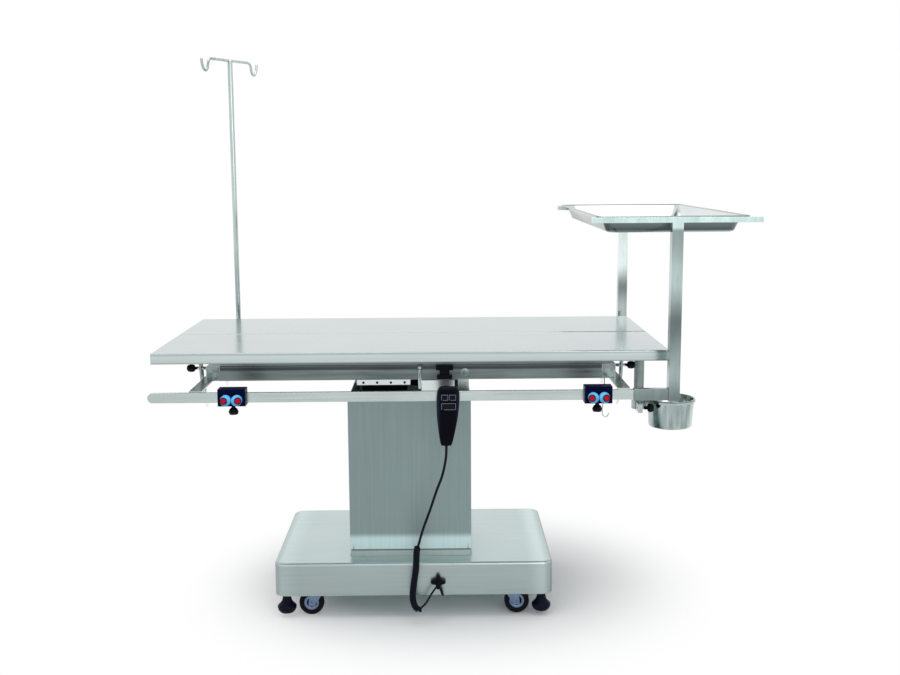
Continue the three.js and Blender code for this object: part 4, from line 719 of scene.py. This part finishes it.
# Leaves of the V-top: two brushed steel sheets with turned-down lips, hinged on one rod along the seam.
# The slotted quadrants at their ends are of the same sheet.
top_steel = sheet_metal("brushed_steel", (0.515, 0.592, 0.585), roughness=0.19, stretch=(2.5, 70.0, 420.0),
                        variation=0.08)
# Painted light and shade by height: the quadrants' lower ends lighter, the lip darker at its foot and
# lighter above, with a darker line just under the top.
top_level = node_box("leaf_front")[1][2] / 1000
shade_along(top_steel, "Z", [(top_level - 0.146, 1.62), (top_level - 0.110, 0.6),
                             (top_level - 0.027, 0.55), (top_level - 0.022, 1.0),
                             (top_level - 0.009, 1.08), (top_level - 0.003, 0.8), (top_level, 0.92)])
dress(top_steel, "leaf_front", "leaf_rear")
dress(bright_steel, "hinge_rod")

# Knobs of the four quadrants: squat black moulded heads on bright steel studs that pass through the slots.
# Each head and its stud are turned profiles about the screw's axis, mirrored at the head end of the table.
knob_out, knob_level = 206, 680
knob_sides = 24
stud_profile = [(0, 526), (4, 526), (4, 566), (0, 566)]
head_profile = [(0, 564), (6, 564), (9, 566), (10, 571), (10, 577), (8.5, 582), (5, 584.6), (0, 585)]
corner_signs = [(-1, -1), (1, -1), (-1, 1), (1, 1)]
for corner, (end, side) in zip(corners, corner_signs):
    knob_node = "quadrant_knob_" + corner
    knob_place = (0, knob_out * side, knob_level)
    head_turned = [(r, end * h) for r, h in head_profile[::end]]
    stud_turned = [(r, end * h) for r, h in stud_profile[::end]]
    knob = lathe(knob_node + "_turned", head_turned, knob_place, knob_node, black_plastic, "x", knob_sides)
    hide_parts(knob_node)
    lathe(knob_node + "_stud", stud_turned, knob_place, knob_node, bright_steel, "x", knob_sides)

# Accessory rails: flat satin steel bars along both sides of the table.
# They are carried by the arms of the two end tubes.
dress(frame_steel, "rail_front", "rail_rear")

# Rope cleats: two navy moulded blocks, clamped to the front rail from below by black knobs.
# Each carries two blue eccentric cams on red pivots, which are moulded with the block, and a dark disc
# between the cam and the pivot's head.
cleat_plastic = moulded("navy_plastic", (0.0015, 0.0025, 0.022), roughness=0.30)
blue_plastic = moulded("blue_plastic", (0.14, 0.56, 0.98), roughness=0.34, variation=0.08)
washer_plastic = moulded("washer_plastic", (0.03, 0.004, 0.016), roughness=0.4)
pivot_red = (0.42, 0.010, 0.025, 1.0)
pivot_start = -0.4804
cleat_nodes, cleat_links = cleat_plastic.node_tree.nodes, cleat_plastic.node_tree.links
cleat_place = cleat_nodes.new("ShaderNodeTexCoord")
cleat_parts = cleat_nodes.new("ShaderNodeSeparateXYZ")
pin_ahead = cleat_nodes.new("ShaderNodeMath")
pin_ahead.operation = "LESS_THAN"
pin_ahead.inputs[1].default_value = pivot_start
pin_red = cleat_nodes.new("ShaderNodeMix")
pin_red.data_type = "RGBA"
pin_red.inputs["B"].default_value = pivot_red
cleat_surface = cleat_nodes["Principled BSDF"]
cleat_surface.inputs["Specular IOR Level"].default_value = 0.02
cleat_links.new(cleat_surface.inputs["Base Color"].links[0].from_socket, pin_red.inputs["A"])
cleat_links.new(cleat_place.outputs["Object"], cleat_parts.inputs[0])
cleat_links.new(cleat_parts.outputs["Y"], pin_ahead.inputs[0])
cleat_links.new(pin_ahead.outputs[0], pin_red.inputs["Factor"])
cleat_links.new(pin_red.outputs["Result"], cleat_surface.inputs["Base Color"])
# Painted light and shade on the cams: darker at their foot, lighter towards the top.
cam_shade_foot, cam_shade_top = 0.630, 0.651
shade_along(blue_plastic, "Z", [(cam_shade_foot, 0.55), (cam_shade_top, 1.0)])
washer_profile = [(0, -1), (8.6, -1), (9, -0.6), (9, 0), (0, 0)]
washer_gap = 0.4
pivot_offset = 4
for end in ("head", "tail"):
    dress(cleat_plastic, "cleat_block_" + end)
    dress(black_plastic, "cleat_knob_" + end)
    for side, way in (("left", -1), ("right", 1)):
        cam_node = f"cleat_cam_{end}_{side}"
        dress(blue_plastic, cam_node)
        cam_x, _, cam_level = node_middle(cam_node)
        cam_face = node_box(cam_node)[0][1]
        pivot_place = (cam_x + way * pivot_offset, cam_face - washer_gap, cam_level)
        washer_name = f"cleat_block_{end}_washer"
        lathe(washer_name, washer_profile, pivot_place, "cleat_" + end, washer_plastic, "y", 28)

# Infusion pole: a bright steel tube with a thin crossbar on top, bent at both ends into deep open hooks.
# The crossbar stands aslant to the table. The pole slides in a satin clamp with a black knob on the rail.
pole_spot = node_middle("infusion_pole")[:2]
bar_angle = math.radians(62)
bar_radius = 4.0
bar_level = 1517
bar_half = np.array([(60, bar_level), (92, 1516), (100, 1511), (104, 1500), (108, 1487), (115, 1481),
                     (122, 1483), (128, 1491), (132, 1503), (133, 1515)])
bar = np.vstack([bar_half[::-1] * (-1, 1), [(0, bar_level)], bar_half])
bar_way = np.array([math.cos(bar_angle), math.sin(bar_angle)])
bar_points = np.column_stack([pole_spot + bar[:, :1] * bar_way, bar[:, 1]])
line_piece("pole_crossbar", bar_points, bar_radius, "infusion_pole", bright_steel, 160)
pole_profile = [(0, 560), (6.5, 560), (7.5, 562), (7.5, 900), (7.5, 1516), (6, 1520), (0, 1521.5)]
pole_place = (*pole_spot, 0)
pole = lathe("infusion_pole_turned", pole_profile, pole_place, "infusion_pole", bright_steel, sides=28)
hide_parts("infusion_pole")
dress(frame_steel, "pole_clamp")
dress(black_plastic, "pole_knob")

# Tray stands: square steel posts on sleeves round the rails, each with a flat bar under the tray's rim.
# Painted reflections: light and dark bands along each post's height, stronger on the front one, and the
# flat bar on top painted light. The rear stand has a lighter copy of the front one's steel, painted light.
post_steel = sheet_metal("post_steel", (0.26, 0.325, 0.318), roughness=0.15, stretch=(40.0, 40.0, 6.0),
                         variation=0.22)
lit_rear_post_steel = sheet_metal("lit_rear_post_steel", (0.46, 0.525, 0.52), roughness=0.15,
                              stretch=(40.0, 40.0, 6.0), variation=0.22)
shade_along(post_steel, "Z", [(0.63, 0.7), (0.69, 1.35), (0.82, 0.58), (0.92, 1.9), (1.04, 1.1),
                              (1.05, 2.4)])
shade_along(lit_rear_post_steel, "Z", [(0.76, 0.95), (0.82, 0.5), (0.90, 1.8), (1.05, 1.5)])
dress(post_steel, "tray_stand_front")
dress(lit_rear_post_steel, "tray_stand_rear")

# Instrument tray: a drawn steel pan with sloping sides and a flat rim with a rolled bead.
# Its inner skin and its outer skin are two lofts of rounded rectangles that meet at the rim's edge. The
# inner skin has a lit copy of the pan's steel and the outer skin a shaded copy.
# Each ring below is given by its width, length, corner radius and level.
shaded_tray_steel = sheet_metal("shaded_tray_steel", (0.42, 0.54, 0.525), roughness=0.16, stretch=(5.0, 9.0, 30.0),
                         variation=0.16)
tray_foot = node_box("instrument_tray")[0][2] / 1000
# Painted shade on the outer skin: darkest a little above the floor, lightening up the walls to the rim.
shade_along(shaded_tray_steel, "Z", [(tray_foot + 0.0012, 0.9), (tray_foot + 0.0062, 0.18),
                              (tray_foot + 0.0212, 0.32), (tray_foot + 0.0352, 1.0)])
tray_middle = node_middle("instrument_tray")[:2]
tray_edge = (373, 800, 18, 1074.2)
tray_inside = [tray_edge, (371, 798, 17, 1075.6), (367, 794, 16, 1075.8), (363, 790, 15, 1074.8),
               (344, 775, 31, 1074.8), (337, 768, 28, 1071), (312, 743, 26, 1039), (302, 733, 22, 1036.6),
               (40, 400, 10, 1036.3)]
tray_outside = [tray_edge, (373, 800, 18, 1073.3), (343, 774, 30, 1073.3), (340, 771, 29, 1070),
                (315, 746, 27, 1038), (304, 735, 22, 1035), (40, 400, 10, 1034.8)]


def tray_skin(name, rings, finish):
    """A loft of rounded rectangles from the rim down to a closed floor, with its faces turned inwards."""
    skin = grid_mesh(name, row([rounded_ring(*ring, tray_middle) for ring in rings]), caps=("last",))
    skin.data.materials.append(finish)
    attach(skin, "tray")
    return skin


tray_skin("tray_inside", tray_inside, tray_floor_steel)
tray_shell = tray_skin("tray_outside", tray_outside, shaded_tray_steel)
tray_shell.data.flip_normals()
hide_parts("instrument_tray")

# Drain bucket: a spun steel pail with a rolled lip, tapering to a rounded bottom edge.
# It hangs in the ring of a steel bracket on the post under the seam, and is one turned profile.
bucket_steel = sheet_metal("bucket_steel", (0.40, 0.48, 0.47), roughness=0.14, stretch=(60.0, 60.0, 8.0),
                           variation=0.65)
pail_profile = [(0, 468), (54, 468), (58, 469.5), (60, 473), (65, 541), (65.3, 546.5), (67, 547),
                (67.6, 548.2), (66.5, 549.2), (64.3, 548.6), (63.5, 546), (58.8, 474), (56, 471),
                (53, 469.3), (0, 469.3)]
pail_place = node_middle("bucket") * (1, 1, 0)
pail = lathe("bucket_turned", pail_profile, pail_place, "bucket", bucket_steel, sides=64)
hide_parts("bucket")
dress(end_steel, "bucket_bracket")

# Knob of the bucket's clamp: a stout black moulded head on a short neck, turned about the screw's axis.
# It sits beside the ring, where the bucket leaves room for the fingers.
clamp_profile = [(0, 638), (5, 638), (5, 647), (10, 648.5), (12.5, 652), (12.5, 659), (10, 663.5),
                 (0, 664.5)]
screw_axis = (0, -54, 532)
clamp_knob = lathe("bucket_knob_turned", clamp_profile, screw_axis, "bucket_knob", black_plastic, "x", 28)
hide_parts("bucket_knob")

# Handset: a black moulded shell, widest at the keys and narrow at the cord, with a flat hook over the rail.
# The shell is a loft of squarish ovals whose width and depth change smoothly with the height.
# It leans a little, a navy sheen is painted along its sides, and its two rocker keys are black.
handset_plastic = moulded("handset_plastic", (0.0015, 0.0022, 0.0045), roughness=0.32)
handset_surface = handset_plastic.node_tree.nodes["Principled BSDF"]
handset_surface.inputs["Specular IOR Level"].default_value = 0.035
handset_low, handset_high = node_box("handset")
shell_left, shell_right = row([handset_low, handset_high])[:, 0]
# Painted sheen: the shell's colour turns navy towards its left and right sides.
shade_along(handset_plastic, "X", [(shell_left - 0.001, 8.0), (shell_left + 0.0095, 1.0),
                                   (shell_right - 0.0125, 1.0), (shell_right, 8.0)])
shell_middle = (handset_low[0] + handset_high[0]) / 2
shell_tall = handset_high[2] - handset_low[2]
shell_back = node_box("rail_front")[0][1] - 0.4
shell_sections = [(0, 24, 14), (6, 29, 18), (40, 42, 24), (80, 53, 27), (120, 56, 28), (138, 52, 26),
                  (144, 46, 22), (146, 40, 17)]
foot_lean = 6
corner_power = 0.5


def squarish(wave):
    """A sine or cosine raised to the corner power, with its sign kept: it fills out an oval's corners."""
    return np.sign(wave) * np.abs(wave) ** corner_power


shell_height, shell_width, shell_depth = smooth_line(shell_sections, 60).T[:, :, None]
shell_turn = np.linspace(0, 2 * np.pi, 48, endpoint=False)
shell_lean = foot_lean * (1 - shell_height / shell_tall)
shell_x = shell_middle - shell_lean + shell_width / 2 * squarish(np.cos(shell_turn))
shell_y = shell_back - shell_depth / 2 + shell_depth / 2 * squarish(np.sin(shell_turn))
shell_z = np.broadcast_to(handset_low[2] + shell_height, shell_x.shape)
shell = grid_mesh("handset_shell", row(np.stack([shell_x, shell_y, shell_z], -1)))
shell.data.materials.append(handset_plastic)
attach(shell, "frame")
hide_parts("handset")
hook_left, hook_right = shell_middle - 10, shell_middle + 10
hook_back = -390.4
hook_top_low, hook_top_high = (hook_left, -410, 653.4), (hook_right, hook_back, 657.4)
tongue_low, tongue_high = (hook_left, -394.6, 640.4), (hook_right, hook_back, 653.6)
box_piece("handset_hook_top", hook_top_low, hook_top_high, "frame", handset_plastic)
box_piece("handset_hook_tongue", tongue_low, tongue_high, "frame", handset_plastic)
dress(black_plastic, "handset_rocker_lift", "handset_rocker_tilt")

# Marks on the handset: pale outlines of two keys above one wide key, just in front of the rockers.
# Each is a hair-thin line, run round the four edges of its key.
mark_paint = moulded("mark_paint", (0.16, 0.19, 0.26), roughness=0.5)
mark_radius = 0.5
mark_front = -436.6
for mark, left, right, mark_foot, mark_head in (("lift", 77, 92, 637, 650), ("tilt", 96, 111, 637, 650),
                                                ("level", 77, 111, 614, 629)):
    edge = [(left, mark_foot), (left, mark_head), (right, mark_head), (right, mark_foot)]
    edge.append((left + 1, mark_foot))
    outline = np.vstack([np.linspace(p, q, 6, endpoint=False) for p, q in zip(edge[:-1], edge[1:])])
    mark_points = np.insert(outline, 1, mark_front, axis=1)
    line_piece("mark_" + mark, mark_points, mark_radius, "frame", mark_paint, 60)

# Handset cord: a black rubber lead from the socket on the base front, wound into a curly stretch, then
# plain again up to the handset. It is one cord in two pieces.


def wound(axis_points, pitch, winding):
    """A helix about a smooth axis: the offset turns once for each pitch, and fades in at both ends."""
    turn_points = 14
    fade_turns = 0.8
    rough = smooth_line(axis_points, 400)
    reach = np.linalg.norm(np.diff(rough, axis=0), axis=1).sum()
    count = int(reach / pitch * turn_points)
    axis = smooth_line(axis_points, count)
    _, n, b = level_frames(axis)
    along = np.linspace(0, reach, count)
    fade = np.clip(np.minimum(along, reach - along) / (fade_turns * pitch), 0, 1)[:, None]
    turn = (2 * np.pi * along / pitch)[:, None]
    return axis + winding * fade * (n * np.cos(turn) + b * np.sin(turn))


cord_radius = 0.00275
lead_radius = 0.0033
coil_winding = 0.00622
coil_pitch = 0.0060
lower_lead = row([[65, -266.6, 108], [64.8, -272.5, 107.8], [57, -277, 100], [46, -279, 84], [35, -280, 65],
                  [26, -280, 54.1], [20.1, -280, 49.1]])
coil_axis = row([[19.8, -280, 48.8], [13, -280.5, 44], [6, -281.5, 49], [0, -284, 66], [-2, -286, 84],
                 [1, -290, 115], [7.5, -300, 162], [10.9, -311.5, 218], [14, -315, 229]])
upper_lead = row([[14.1, -315.2, 229.4], [16.9, -318.4, 239.4], [21.5, -324.5, 258], [30, -336, 288],
                  [46, -356, 338], [63, -376, 394], [78, -394, 440], [86.5, -408, 485], [88, -412, 507],
                  [88, -412.4, 519.6]])
coil_line = wound(coil_axis, coil_pitch, coil_winding)
cord_line = np.vstack([smooth_line(lower_lead, 40), coil_line[1:]])
lead_line = smooth_line(upper_lead, 70)
curly_cord = tube("curly_cord", cord_line, cord_radius, 8)
upper_cord = tube("upper_lead", lead_line, lead_radius, 10)
curly_cord.data.materials.append(cord_rubber)
upper_cord.data.materials.append(cord_rubber)
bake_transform(curly_cord)
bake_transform(upper_cord)
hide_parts("cord_lower_lead", "cord_coil")
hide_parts("cord_upper_lead")
